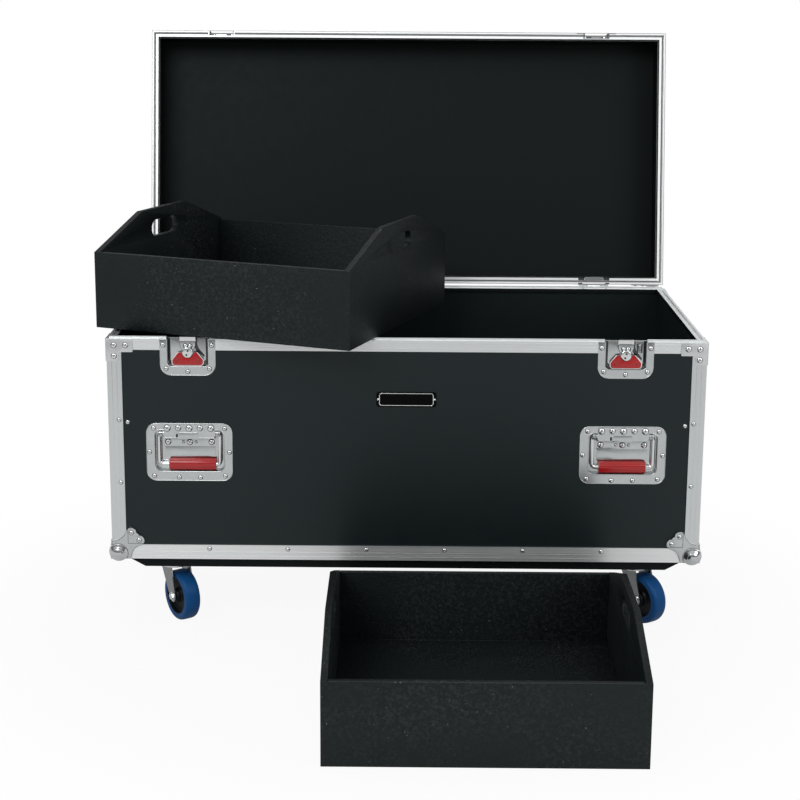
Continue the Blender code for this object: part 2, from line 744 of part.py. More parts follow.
def make_hinge(name, x, case, lid):
    """Two leaves on one pin. The body's leaf has the outer knuckles and the pin."""
    out, near = GAP, GAP + HINGE_LEAF_THICK
    half, middle = HINGE_WIDE / 2, LID_KNUCKLE / 2
    axis = HINGE_AXIS_OUT
    at = (x, HINGE_Y, HINGE_Z)
    place = empty(f"{name}_place", case, at)
    drop = KNUCKLE_RADIUS
    into = drop * KNUCKLE_LAP
    low, high = (-half, out - axis, -HINGE_LEAF), (half, near - axis, -into)
    body = box(f"{name}_body_leaf", low, high, ZINC, place)
    inner = middle + KNUCKLE_GAP
    for side in (-1, 1):
        start, end = side * inner, side * half
        join(body, cylinder(f"{name}_knuckle_{side}", drop, (start, 0, 0), (end, 0, 0), None, place))
        low = (min(start, end), out - axis, -drop)
        high = (max(start, end), 0, -into)
        join(body, box(f"{name}_cheek_{side}", low, high, None, place))
    relief = drop + KNUCKLE_GAP
    cut(body, box(f"{name}_relief", (-inner, -BIG, -relief), (inner, BIG, BIG), None, place))
    pin_end = half - PIN_SHORT
    join(body, cylinder(f"{name}_pin", PIN_RADIUS, (-pin_end, 0, 0), (pin_end, 0, 0), None, place))

    closed = empty(f"{name}_lid_place", lid, (x, 0, 0))
    low, high = (-half, out - axis, relief), (half, near - axis, HINGE_LEAF)
    top = box(f"{name}_lid_leaf", low, high, ZINC, closed)
    start = (-middle, out - axis, 0)
    join(
        top,
        box(f"{name}_tab", start, (middle, near - axis, relief + HINGE_LEAF_THICK), None, closed),
        box(f"{name}_web", start, (middle, 0, drop - into / 4), None, closed),
        cylinder(f"{name}_barrel", drop, (-middle, 0, 0), (middle, 0, 0), None, closed),
    )
    bore = PIN_RADIUS + PIN_FIT
    cut(top, cylinder(f"{name}_pin_bore", bore, (-half, 0, 0), (half, 0, 0), None, closed))


def make_lid(case):
    """The lid is drawn closed, under an empty on the hinge line that stands it open."""
    swing = empty("lid_swing", case, (0, HINGE_Y, HINGE_Z), (-LID_OPEN, 0, 0))
    closed = empty("lid_closed", swing, (0, -HINGE_Y, -HINGE_Z))
    half = CASE_LENGTH / 2 - SKIN_IN
    shell = lid_shell(half, closed)
    channel = LID_Z + LID_RIM_HEIGHT
    inner = RIM_WIDE - EDGE_THICK
    groove_in = TONGUE_IN - GROOVE_SIDE
    groove_out = TONGUE_IN + TONGUE_WIDE + GROOVE_SIDE
    groove_top = LID_Z + TONGUE_HIGH + GROOVE_OVER
    profile = [
        (0, LID_Z),
        (groove_in, LID_Z),
        (groove_in, groove_top),
        (groove_out, groove_top),
        (groove_out, LID_Z),
        (RIM_WIDE, LID_Z),
        (RIM_WIDE, LID_Z + LID_RIM_INNER_LEG),
        (inner, LID_Z + LID_RIM_INNER_LEG),
        (inner, channel),
        (EDGE_THICK, channel),
        (EDGE_THICK, LID_Z + RIM_FACE),
        (0, LID_Z + RIM_FACE),
    ]
    rim = ring("lid_rim", profile, ALUMINIUM, closed)
    for side, name in ((-1, "keeper_left"), (1, "keeper_right")):
        x = side * LATCH_X
        notch_rim(rim, f"lid_notch_{side}", x, KEEPER_FLANGE_HALF, KEEPER_RECESS_HALF, closed)
        make_keeper(name, x, closed, shell)

    top_leg = LID_TOP - EDGE_THICK
    foot = LID_TOP - EDGE_LEG
    profile = [
        (0, foot),
        (EDGE_THICK, foot),
        (EDGE_THICK, top_leg),
        (EDGE_LEG, top_leg),
        (EDGE_LEG, LID_TOP),
        (0, LID_TOP),
    ]
    frame = ring("lid_frame", profile, ALUMINIUM, closed)
    low = LID_Z + RIM_FACE + GAP
    for name, *corner in corner_places():
        high = foot + OVERLAP
        join(frame, angle_bar(f"lid_edge_{name}", corner, EDGE_LEG, 0, EDGE_THICK, low, high, None, closed))
        x, y, into_x, into_y = corner
        join(frame, *ball_corner(f"lid_{name}", x, y, into_x, into_y, LID_TOP, -1, closed, True))
    return closed, swing


def lid_shell(half, closed):
    """Five panels as one open box, thickened inwards."""
    low, high = LID_Z + LID_RIM_HEIGHT + GAP, LID_TOP - SKIN_IN
    bm = bmesh.new()
    bmesh.ops.create_cube(bm, size=1)
    size = Vector((2 * half, CASE_DEPTH - 2 * SKIN_IN, high - low))
    bmesh.ops.scale(bm, vec=size, verts=bm.verts)
    bmesh.ops.translate(bm, vec=(0, CASE_DEPTH / 2, (low + high) / 2), verts=bm.verts)
    bmesh.ops.recalc_face_normals(bm, faces=bm.faces)
    lowest = [face for face in bm.faces if face.normal.z < -0.5]
    bmesh.ops.delete(bm, geom=lowest, context="FACES_ONLY")
    mesh = bpy.data.meshes.new("lid_shell")
    bm.to_mesh(mesh)
    bm.free()
    mesh.materials.append(LAMINATE)
    shell = bpy.data.objects.new("lid_shell", mesh)
    shell.parent = closed
    PARTS.objects.link(shell)
    skin = shell.modifiers.new("plywood", "SOLIDIFY")
    skin.thickness = WALL
    skin.offset = -1
    skin.use_even_offset = True
    return shell


def make_keeper(name, x, closed, shell):
    """The dish in the lid that a latch's hook enters, with the strike it catches."""
    at = (x, 0, LID_Z)
    corner = KEEPER_CORNER
    flange = latch_outline(KEEPER_FLANGE_HALF, KEEPER_FLANGE_UP, corner, CUT_PAST)
    hollow = latch_outline(KEEPER_RECESS_HALF, KEEPER_RECESS_UP, corner - SHEET, 3 * CUT_PAST)
    half, high = KEEPER_RECESS_HALF + SHEET, KEEPER_RECESS_UP + SHEET
    tub = latch_outline(half, high, corner, 2 * CUT_PAST)
    flange, tub, hollow = (turned_over(outline) for outline in (flange, tub, hollow))
    made = dish(name, flange, tub, hollow, LATCH_DEPTH, FRONT, at, closed)
    strike = box(
        name + "_strike",
        (x - STRIKE_HALF, LATCH_DEPTH - STRIKE_REACH, LID_Z - CUT_PAST),
        (x + STRIKE_HALF, LATCH_DEPTH + SHEET / 2, RIM_Z + STRIKE_UP),
        None,
        closed,
    )
    join(made, strike)
    cut(made, box(name + "_trim", (x - BIG, -BIG, LID_Z - BIG), (x + BIG, BIG, LID_Z), None, closed))
    hole = turned_over(latch_outline(half + DISH_FIT, high + DISH_FIT, KEEPER_CORNER, BIG))
    cut(shell, plate(f"{name}_hole", hole, -CUT_PAST, INNER_IN + CUT_PAST, FRONT, None, closed, at))


def fork_arm(name, side, parent):
    """One cheek of a fork, from the crown to the axle, in the wheel's plane."""
    drop = CASTER_HEIGHT - CASTER_PLATE[2] - RACE_HIGH - GAP - WHEEL_RADIUS
    start, end = math.radians(-162), math.radians(18)
    foot = arc((CASTER_TRAIL, -drop), FORK_FOOT_RADIUS, start, end, 2 * ARC_STEPS)
    top = -CROWN_THICK / 2
    outline = [*foot, (FORK_TOP_HALF, top), (-FORK_TOP_HALF, top)]
    near = side * FORK_INSIDE / 2
    far = near + side * FORK_THICK
    return plate(name, outline, min(near, far), max(near, far), FRONT, None, parent)


def make_caster(name, x, y, case):
    long, wide, thick = CASTER_PLATE
    low = CASTER_HEIGHT - thick
    corner = (x - long / 2, y - wide / 2, low)
    base = box(f"{name}_plate", corner, (x + long / 2, y + wide / 2, CASTER_HEIGHT), ZINC, case)
    race = low - RACE_HIGH
    join(base, cylinder(f"{name}_race", RACE_RADIUS, (x, y, low + OVERLAP), (x, y, race), None, case, 24))

    crown_top = race - GAP
    swivel = empty(f"{name}_swivel", case, (x, y, crown_top), (0, 0, CASTER_SWIVEL - math.pi / 2))
    fork = cylinder(f"{name}_fork", CROWN_RADIUS, (0, 0, 0), (0, 0, -CROWN_THICK), ZINC, swivel, 24)
    join(fork, fork_arm(f"{name}_arm_near", -1, swivel), fork_arm(f"{name}_arm_far", 1, swivel))
    axle_line = WHEEL_RADIUS - crown_top
    hub = empty(f"{name}_axle_line", swivel, (CASTER_TRAIL, 0, axle_line))
    reach = FORK_INSIDE / 2 + FORK_THICK + AXLE_PAST
    start, end = (CASTER_TRAIL, -reach, axle_line), (CASTER_TRAIL, reach, axle_line)
    join(fork, cylinder(f"{name}_axle", AXLE_RADIUS, start, end, None, swivel))
    make_wheel(f"{name}_wheel", hub)


def make_wheel(name, hub):
    """Turned about the axle: a hub with a bore, a thin web, a rim and a tread with eased edges."""
    half, hub_half = WHEEL_WIDE / 2, WHEEL_HUB_WIDE / 2
    bore = AXLE_RADIUS + AXLE_FIT
    outer = [
        (bore, hub_half),
        (WHEEL_HUB_RADIUS, hub_half),
        (WHEEL_HUB_RADIUS, WHEEL_WEB_HALF),
        (WHEEL_RIM_RADIUS, WHEEL_WEB_HALF),
        (WHEEL_RIM_RADIUS, half),
        (WHEEL_RADIUS - TREAD_EDGE, half),
        (WHEEL_RADIUS, half - TREAD_EDGE),
    ]
    profile = outer + [(r, -h) for r, h in reversed(outer)]
    bm = bmesh.new()
    verts = [bm.verts.new((r, 0, h)) for r, h in profile]
    for a, b in zip(verts, verts[1:] + verts[:1]):
        bm.edges.new((a, b))
    mesh = bpy.data.meshes.new(name)
    bm.to_mesh(mesh)
    bm.free()
    mesh.materials.append(BLUE)
    wheel = bpy.data.objects.new(name, mesh)
    wheel.parent = hub
    wheel.rotation_euler = (-math.pi / 2, 0, 0)
    PARTS.objects.link(wheel)
    turn = wheel.modifiers.new("turned", "SCREW")
    turn.steps = turn.render_steps = WHEEL_STEPS
    turn.use_merge_vertices = True
    turn.merge_threshold = 1e-5
    turn.use_normal_calculate = True
    return wheel


def make_crate(name, at, turn, level, look=CRATE_PAINT):
    """A plywood tote: a front, a floor and a back between two taller ends with hand holes."""
    place = empty(name, CASE, (*at, level), (0, 0, turn))
    inside = CRATE_PLY + GAP
    low, high = (inside, 0, 0), (CRATE_WIDE - inside, CRATE_DEEP, CRATE_WALL_HIGH)
    trough = box(f"{name}_trough", low, high, look, place)
    low = (-BIG, CRATE_PLY, CRATE_PLY)
    high = (CRATE_WIDE + BIG, CRATE_DEEP - CRATE_PLY, CRATE_WALL_HIGH + BIG)
    cut(trough, box(f"{name}_hollow", low, high, None, place))
    shoulder = CRATE_SHOULDER_IN
    end = [
        (0, 0),
        (CRATE_DEEP, 0),
        (CRATE_DEEP, CRATE_WALL_HIGH),
        (CRATE_DEEP - shoulder, CRATE_END_HIGH),
        (shoulder, CRATE_END_HIGH),
        (0, CRATE_WALL_HIGH),
    ]
    wide, tall = HAND_HOLE
    hole = rounded(wide, tall, HAND_HOLE_CORNER, (CRATE_DEEP / 2, HAND_HOLE_UP))
    for tag, near in (("left_end", 0), ("right_end", CRATE_WIDE - CRATE_PLY)):
        near, far = -near - CRATE_PLY, -near
        wall = plate(f"{name}_{tag}", end, near, far, RIGHT, look, place)
        cut(wall, plate(f"{name}_{tag}_hole", hole, near - BIG, far + BIG, RIGHT, None, place))
    return place


CASE = empty("case", None, (CASE_X, CASE_FRONT_Y, 0))
front_panel, end_panels = make_panels(CASE)
make_caster_board(CASE)
make_bottom_frame(CASE)
make_corner_edges(CASE)
make_body_rim(CASE)
make_name_plate(CASE)
LID_CLOSED, LID_SWING = make_lid(CASE)
for side, word in ((-1, "left"), (1, "right")):
    make_latch(f"latch_{word}", side * LATCH_X, CASE, front_panel)
    make_hinge(f"hinge_{word}", side * HINGE_X, CASE, LID_SWING)
    level = RIM_Z - HANDLE_DOWN
    slip = GRIP_SLIP if side < 0 else 0.0
    make_handle(f"handle_front_{word}", FRONT, (side * HANDLE_X, 0, level), CASE, front_panel, slip)
    face = LEFT if side < 0 else RIGHT
    end_at = (side * CASE_LENGTH / 2, CASE_DEPTH / 2, level)
    make_handle(f"handle_end_{word}", face, end_at, CASE, end_panels[(side + 1) // 2])
    for row, depth in (("front", CASTER_IN), ("back", CASE_DEPTH - CASTER_IN)):
        make_caster(f"caster_{row}_{word}", side * CASTER_X, depth, CASE)
make_crate("crate_upper", UPPER_CRATE_AT, UPPER_CRATE_TURN, RIM_Z + TONGUE_HIGH + GAP)
make_crate("crate_lower", LOWER_CRATE_AT, 0, 0)
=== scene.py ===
"""Looks of an open road trunk on casters and the two loose totes that pack inside it."""

import json
import math

import bmesh
import bpy
from mathutils import Matrix, Vector


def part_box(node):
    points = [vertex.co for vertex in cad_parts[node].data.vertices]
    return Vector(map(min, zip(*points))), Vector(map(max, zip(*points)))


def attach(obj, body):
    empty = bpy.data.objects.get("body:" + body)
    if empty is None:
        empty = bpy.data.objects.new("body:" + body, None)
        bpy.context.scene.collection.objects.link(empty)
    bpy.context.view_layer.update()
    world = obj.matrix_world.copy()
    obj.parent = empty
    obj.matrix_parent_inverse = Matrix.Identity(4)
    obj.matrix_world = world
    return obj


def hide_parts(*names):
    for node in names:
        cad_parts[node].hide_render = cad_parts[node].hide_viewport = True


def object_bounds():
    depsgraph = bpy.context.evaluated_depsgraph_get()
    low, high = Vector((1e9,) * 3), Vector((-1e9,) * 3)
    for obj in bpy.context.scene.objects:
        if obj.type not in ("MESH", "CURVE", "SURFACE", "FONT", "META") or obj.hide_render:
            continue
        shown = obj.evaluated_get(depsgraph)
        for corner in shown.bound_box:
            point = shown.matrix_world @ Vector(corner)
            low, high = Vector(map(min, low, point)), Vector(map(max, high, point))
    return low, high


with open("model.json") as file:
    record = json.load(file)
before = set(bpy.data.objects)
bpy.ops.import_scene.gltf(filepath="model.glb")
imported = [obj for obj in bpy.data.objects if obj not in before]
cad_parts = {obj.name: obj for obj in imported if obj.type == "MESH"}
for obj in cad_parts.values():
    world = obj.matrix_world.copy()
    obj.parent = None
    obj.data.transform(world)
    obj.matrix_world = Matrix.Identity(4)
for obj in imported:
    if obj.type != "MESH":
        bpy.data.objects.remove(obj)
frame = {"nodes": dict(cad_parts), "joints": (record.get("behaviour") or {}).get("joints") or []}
NODES = frame["nodes"]
JOINTS = {joint["name"]: joint for joint in frame["joints"]}
cad_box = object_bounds()

# The case, in metres in the model's frame. A panel's face lies FACE_IN behind the extrusions'.
MM = 0.001
FACE_IN = 0.0023
RIM_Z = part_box("latch_left_dish")[1].z
BODY_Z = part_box("front_panel")[0].z - FACE_IN
CASE_X = (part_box("left_panel")[0].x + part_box("right_panel")[1].x) / 2
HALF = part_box("front_panel")[1].x + FACE_IN - CASE_X
FRONT_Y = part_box("front_panel")[0].y - FACE_IN
BACK_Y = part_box("back_panel")[1].y + FACE_IN
DEEP = BACK_Y - FRONT_Y
MIDDLE_Y = (FRONT_Y + BACK_Y) / 2
LID_HIGH = 100 * MM
RIM_IN = 16.6 * MM
LATCH_OUT = 0.417
BALL_IN = 11.4 * MM
BALL_RADIUS = 19.6 * MM
SIDES = (-1, 1)
HINGE = Vector(JOINTS["lid_hinge"]["pos_m"])
OPEN = math.radians(JOINTS["lid_hinge"]["range_deg"][1])
LID = Matrix.Translation(HINGE) @ Matrix.Rotation(-OPEN, 4, "X") @ Matrix.Translation(-HINGE)

FRONT = Matrix.Rotation(math.pi / 2, 4, "X")
BACK = Matrix.Rotation(math.pi, 4, "Z") @ FRONT
LEFT = Matrix.Rotation(-math.pi / 2, 4, "Z") @ FRONT
RIGHT = Matrix.Rotation(math.pi / 2, 4, "Z") @ FRONT


def add_object(name, data):
    thing = bpy.data.objects.new(name, data)
    bpy.context.scene.collection.objects.link(thing)
    return thing


def facing(direction, track="Z"):
    """The rotation that turns one axis towards a direction."""
    return direction.to_track_quat(track, "Y").to_matrix().to_4x4()


def make_camera():
    """Fitted to the photograph's corners, with the image taken as 800 by 800."""
    image, sensor, focal = 800, 36, 1640.5
    data = bpy.data.cameras.new("camera")
    data.sensor_width = sensor
    data.lens = focal * sensor / image
    data.shift_y = -0.10
    data.clip_start, data.clip_end = 0.1, 200
    pitch, yaw, roll = math.radians(11.763), math.radians(0.21), math.radians(-0.371)
    aim = Matrix.Rotation(yaw, 4, "Z") @ Matrix.Rotation(-pitch, 4, "X") @ Matrix.Rotation(roll, 4, "Y")
    place = Vector((-0.0020, -3.0400, 1.2553)) + Vector((CASE_X, FRONT_Y, 0))
    thing = add_object("camera", data)
    thing.matrix_world = Matrix.Translation(place) @ aim @ Matrix.Rotation(math.pi / 2, 4, "X")
    bpy.context.scene.camera = thing


def lamp(name, place, target, size, power):
    data = bpy.data.lights.new(name, "AREA")
    data.shape = "RECTANGLE"
    data.size, data.size_y = size
    data.energy = power
    aim = facing(Vector(target) - Vector(place), "-Z")
    add_object(name, data).matrix_world = Matrix.Translation(place) @ aim


class Graph:
    """The node tree of a material or the world, with short calls to add and join nodes."""

    def __init__(self, owner):
        owner.use_nodes = True
        self.owner = owner
        self.tree = owner.node_tree
        self.shader = self.tree.nodes.get("Principled BSDF")

    def add(self, kind, settings=None, **values):
        made = self.tree.nodes.new("ShaderNode" + kind)
        for key, value in (settings or {}).items():
            setattr(made, key, value)
        for key, value in values.items():
            self.put(made, key.replace("_", " "), value)
        return made

    def put(self, made, key, value):
        socket = made.inputs[int(key) if key.isdigit() else key]
        if isinstance(value, bpy.types.NodeSocket):
            self.tree.links.new(value, socket)
        else:
            socket.default_value = value

    def place(self, stretch=(1, 1, 1)):
        where = self.add("TexCoord").outputs["Object"]
        if stretch == (1, 1, 1):
            return where
        return self.add("Mapping", Vector=where, Scale=stretch).outputs[0]

    def noise(self, scale, detail=2.0, stretch=(1, 1, 1), rough=0.5):
        made = self.add("TexNoise", Vector=self.place(stretch), Scale=scale, Detail=detail, Roughness=rough)
        return made.outputs["Fac"]

    def spread(self, value, low, high, start=0.0, end=1.0):
        """The value mapped from start..end to low..high."""
        made = self.add("MapRange", Value=value)
        self.put(made, "From Min", start)
        self.put(made, "From Max", end)
        self.put(made, "To Min", low)
        self.put(made, "To Max", high)
        return made.outputs["Result"]

    def math(self, how, first, second):
        made = self.add("Math", {"operation": how})
        self.put(made, "0", first)
        self.put(made, "1", second)
        return made.outputs[0]

    def mix(self, fac, first, second):
        made = self.add("Mix", {"data_type": "RGBA"})
        self.put(made, "0", fac)
        for key, colour in (("6", first), ("7", second)):
            self.put(made, key, (*colour, 1) if isinstance(colour, tuple) else colour)
        return made.outputs[2]

    def bump(self, height, distance, strength=1.0, after=None):
        made = self.add("Bump", Height=height, Strength=strength, Distance=distance)
        if after:
            self.put(made, "Normal", after)
        return made.outputs[0]

    def set(self, **values):
        for key, value in values.items():
            self.put(self.shader, key.replace("_", " "), value)
        return self.owner

    def seen(self, mirrored=1.0):
        """1 for the rays that show a thing directly, a share of that in a mirror or through glass."""
        path = self.add("LightPath").outputs
        bent = self.math("MAXIMUM", path["Is Glossy Ray"], path["Is Transmission Ray"])
        return self.math("MAXIMUM", path["Is Camera Ray"], self.math("MULTIPLY", bent, mirrored))


def blank(name):
    return Graph(bpy.data.materials.new(name))


def laminate(name, colour, rough, gloss):
    """Dark stippled laminate."""
    g = blank(name)
    cloud = g.noise(2.2, 3)
    fine = g.noise(900, 2)
    tone = g.mix(cloud, tuple(c * 0.82 for c in colour), tuple(c * 1.22 for c in colour))
    speck = g.spread(fine, 0.0, 0.35, 0.55, 0.8)
    tone = g.mix(speck, tone, tuple(c * 2.4 for c in colour))
    roughness = g.spread(g.noise(60, 3), *rough)
    normal = g.bump(fine, 0.00012, 0.5)
    g.set(Specular_IOR_Level=gloss, Specular_Tint=(0.84, 1, 1.0, 1))
    return g.set(Base_Color=tone, Roughness=roughness, Normal=normal)


def tote_paint(name, colour, speckle, gloss=0.34):
    """A matte textured coating over plywood, with light specks and rubbed patches."""
    g = blank(name)
    cloud = g.noise(7, 4)
    grit = g.noise(650, 3, rough=0.7)
    grain = g.noise(185, 3, rough=0.7)
    coarse = g.noise(260, 2)
    tone = g.mix(cloud, tuple(c * 0.78 for c in colour), tuple(c * 1.3 for c in colour))
    patch = g.spread(g.noise(4.5, 3), 0.12, 1.0, 0.42, 0.62)
    light = g.math("MULTIPLY", g.spread(grain, 0.0, speckle, 0.50, 0.62), patch)
    tone = g.mix(light, tone, tuple(0.016 + c for c in colour))
    pits = g.math("MULTIPLY", g.spread(grain, speckle, 0.0, 0.38, 0.48), patch)
    tone = g.mix(pits, tone, (0.0004, 0.0005, 0.0006))
    dots = g.math("MULTIPLY", g.spread(coarse, 0.0, speckle, 0.73, 0.76), patch)
    tone = g.mix(dots, tone, (0.30, 0.30, 0.30))
    normal = g.bump(grit, 0.0003, 0.6)
    normal = g.bump(grain, 0.0011, 0.55, normal)
    g.set(Specular_IOR_Level=gloss, Specular_Tint=(0.84, 1, 1.0, 1))
    return g.set(Base_Color=tone, Roughness=g.spread(cloud, 0.42, 0.56), Normal=normal)


def metal(name, colour, rough, stretch, grain=0.12):
    """Satin metal with drawn streaks along its length and a few faint smudges."""
    g = blank(name)
    streak = g.noise(1.0, 3, tuple(500 * s for s in stretch))
    smudge = g.noise(14, 3)
    tone = g.mix(g.spread(streak, 0, 1, 0.3, 0.7), tuple(c * 0.93 for c in colour), colour)
    roughness = g.math("ADD", g.spread(streak, rough * 0.85, rough * 1.12), g.spread(smudge, -0.03, 0.04))
    normal = g.bump(streak, 0.00002, grain)
    return g.set(Base_Color=tone, Metallic=1.0, Roughness=roughness, Normal=normal)


def plastic(name, colour, rough, gloss=0.4):
    g = blank(name)
    cloud = g.noise(30, 3)
    tone = g.mix(cloud, tuple(c * 0.85 for c in colour), tuple(min(1, c * 1.15) for c in colour))
    normal = g.bump(g.noise(700, 2), 0.00008, 0.4)
    rough = g.spread(cloud, rough * 0.85, rough * 1.15)
    return g.set(Base_Color=tone, Roughness=rough, Normal=normal, Specular_IOR_Level=gloss)


# How metal's streaks are stretched along X, Y and Z
LEVEL, ACROSS, UPRIGHT, EVEN = (0.004, 0.004, 1), (0.004, 1, 1), (1, 1, 0.004), (0.3, 0.3, 0.3)

PANEL = laminate("laminate_panel", (0.0040, 0.0070, 0.0084), (0.36, 0.48), 0.42)
INSIDE = laminate("laminate_inside", (0.0018, 0.0023, 0.0023), (0.45, 0.6), 0.17)
TOTE = tote_paint("tote_paint", (0.0028, 0.0042, 0.0052), 0.9)
# A lighter copy of the tote paint with less sheen: painted light on the ends' upward faces.
TOTE_TOP_LIT = tote_paint("tote_top_lit", (0.0050, 0.0062, 0.0070), 0.9, 0.10)
# A darker copy of the tote paint: painted shade inside the totes.
TOTE_IN_SHADED = tote_paint("tote_inside_shaded", (0.0023, 0.0034, 0.0042), 0.7, 0.22)
# Lit and shaded copies of one aluminium: the tones are set to how light falls on each part, with the uprights
# painted darker and the bottom edge and the lid painted lighter than the rim.
ALU_LONG = metal("aluminium_long", (0.85, 0.875, 0.875), 0.42, LEVEL)
ALU_LOW_LIT = metal("aluminium_low_lit", (0.95, 0.97, 0.97), 0.48, LEVEL)
ALU_UP_SHADED = metal("aluminium_up_shaded", (0.72, 0.745, 0.75), 0.30, UPRIGHT)
ALU_LID_LIT = metal("aluminium_lid_lit", (0.89, 0.91, 0.915), 0.50, ACROSS)
ZINC = metal("zinc_bright", (0.78, 0.80, 0.80), 0.12, EVEN, 0.05)
BALL = metal("ball_polished", (0.62, 0.64, 0.645), 0.09, EVEN, 0.05)
STEEL = metal("steel_satin", (0.74, 0.76, 0.77), 0.36, EVEN, 0.05)
FORK = metal("zinc_fork", (0.30, 0.31, 0.315), 0.26, EVEN, 0.05)
DISH = metal("zinc_pressed", (0.60, 0.625, 0.63), 0.18, (0.2, 0.2, 0.2), 0.05)
# Dark metal used only for painted shade: round rivet feet and along steps, and in pits, gaps, recesses, a
# window and spring coils.
SHADE_DARK = metal("painted_shade", (0.10, 0.105, 0.108), 0.35, EVEN, 0.05)
RED = plastic("red_plastic", (0.44, 0.011, 0.013), 0.20, gloss=0.6)
BLACK = plastic("plate_black", (0.0015, 0.0015, 0.0016), 0.3, gloss=0.06)
# Grey for the painted shade in the lid rim's groove, and for a thin line at the rim's outer edge.
STRIP = plastic("groove_strip", (0.22, 0.222, 0.223), 0.6)
BLUE = plastic("blue_tread", (0.0030, 0.070, 0.23), 0.45, gloss=0.2)
BLUE_DARK = plastic("wheel_core", (0.002, 0.003, 0.004), 0.5, gloss=0.2)


def dress(node, look):
    slots = NODES[node].material_slots
    if not slots:
        NODES[node].data.materials.append(look)
    for slot in slots:
        slot.material = look


for node in NODES:
    if node.startswith("crate_"):
        dress(node, TOTE)
    elif node in ("lid_shell", "floor_panel", "caster_board"):
        dress(node, INSIDE)
    elif node.endswith("_panel"):
        dress(node, PANEL)
    elif node.startswith("corner_edge"):
        dress(node, ALU_UP_SHADED)
    elif node in ("lid_rim", "lid_frame"):
        dress(node, ALU_LID_LIT)
    elif node == "bottom_frame":
        dress(node, ALU_LOW_LIT)
    elif node == "body_rim":
        dress(node, ALU_LONG)
    elif node.endswith(("_wing", "_grip")):
        dress(node, RED)
    elif node == "name_plate":
        dress(node, BLACK)
    elif node.endswith("_wheel"):
        dress(node, BLUE)
    elif node.endswith("_fork"):
        dress(node, FORK)
    elif node.endswith("_dish") or node.startswith("keeper"):
        dress(node, DISH)
    else:
        dress(node, ZINC)


def piece(name, body, look, parts, sharp=38, replaces=None):
    """One named mesh gathered from parts, each a bmesh and its place, riding on a body."""
    whole = bmesh.new()
    for part, place in parts:
        bmesh.ops.transform(part, matrix=place, verts=part.verts)
        bmesh.ops.recalc_face_normals(part, faces=part.faces)
        step = bpy.data.meshes.new("step")
        part.to_mesh(step)
        part.free()
        whole.from_mesh(step)
        bpy.data.meshes.remove(step)
    mesh = bpy.data.meshes.new(name)
    whole.to_mesh(mesh)
    whole.free()
    mesh.materials.append(look)
    mesh.shade_smooth()
    mesh.set_sharp_from_angle(angle=math.radians(sharp))
    thing = add_object(name, mesh)
    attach(thing, body)
    if replaces:
        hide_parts(replaces)


def at(x=0, y=0, z=0):
    return Matrix.Translation((x * MM, y * MM, z * MM))


def arc(centre, radius, start, end, steps=6):
    """Points round a centre, from start to end in degrees."""
    points = []
    for i in range(steps + 1):
        turn = math.radians(start + (end - start) * i / steps)
        points.append((centre[0] + radius * math.cos(turn), centre[1] + radius * math.sin(turn)))
    return points


def rounded(wide, tall, radius, centre=(0, 0)):
    """The outline of a rectangle with round corners."""
    points = []
    for quarter, (sx, sy) in enumerate(((1, 1), (-1, 1), (-1, -1), (1, -1))):
        middle = (centre[0] + sx * (wide / 2 - radius), centre[1] + sy * (tall / 2 - radius))
        points += arc(middle, radius, quarter * 90, quarter * 90 + 90)
    return points


def hexagon(radius):
    return arc((0, 0), radius, 0, 300, 5)


def circle(bm, radius, height, segments):
    """A ring of vertices about Z, given in millimetres."""
    ring = []
    for i in range(segments):
        turn = 2 * math.pi * i / segments
        ring.append(bm.verts.new((radius * MM * math.cos(turn), radius * MM * math.sin(turn), height * MM)))
    return ring


def skin(bm, rings, closed=False):
    """Joins rings of vertices, and caps the two ends unless the last ring meets the first."""
    pairs = list(zip(rings, rings[1:]))
    if closed:
        pairs.append((rings[-1], rings[0]))
    for first, second in pairs:
        for i in range(len(first)):
            k = (i + 1) % len(first)
            bm.faces.new((first[i], first[k], second[k], second[i]))
    if not closed:
        bm.faces.new(rings[0])
        bm.faces.new(rings[-1])
    return bm


def lathe_ring(profile, segments):
    """A ring-shaped solid turned about Z from a closed profile in millimetres."""
    bm = bmesh.new()
    return skin(bm, [circle(bm, radius, height, segments) for radius, height in profile], closed=True)


def lathe(profile, segments=20):
    """A closed solid turned about Z from (radius, height) points in millimetres."""
    bm = bmesh.new()
    rings = []
    for radius, height in profile:
        if radius < 1e-6:
            rings.append([bm.verts.new((0, 0, height * MM))])
        else:
            rings.append(circle(bm, radius, height, segments))
    for low, high in zip(rings, rings[1:]):
        for i in range(segments):
            k = (i + 1) % segments
            corners = [low[i % len(low)], low[k % len(low)], high[k % len(high)], high[i % len(high)]]
            corners = list(dict.fromkeys(corners))
            if len(corners) > 2:
                bm.faces.new(corners)
    for ring in (rings[0], rings[-1]):
        if len(ring) > 2:
            bm.faces.new(ring)
    return bm


def rivet(radius, height):
    """A blind rivet's round head with the small pit of its pulled pin."""
    pit = 0.26 * radius
    profile = [
        (radius, -0.2), (radius, 0.12 * height), (0.93 * radius, 0.45 * height),
        (0.74 * radius, 0.78 * height), (0.45 * radius, 0.97 * height), (pit, height),
        (0.8 * pit, 0.9 * height), (0.7 * pit, 0.55 * height), (0, 0.5 * height),
    ]
    return lathe(profile, 18)


def rivets(name, body, spots):
    """Rivet heads, each (radius, height, place), on a slightly wider dark ring painted as shade round each
    foot, with painted shade in each pin's pit.
    """
    piece(name, body, ZINC, [(rivet(radius, height), place) for radius, height, place in spots])
    foot_shades = []
    for radius, height, place in spots:
        wide = radius + 0.7
        foot_shades.append((lathe([(wide, -0.2), (wide, 0.12), (radius, 0.2), (0, 0.2)], 18), place))
        pit, deep = 0.27 * radius, 0.9 * height
        foot_shades.append((lathe([(pit, deep - 0.3), (pit, deep), (0, deep)], 10), place))
    piece(f"{name}_seats", body, SHADE_DARK, foot_shades)


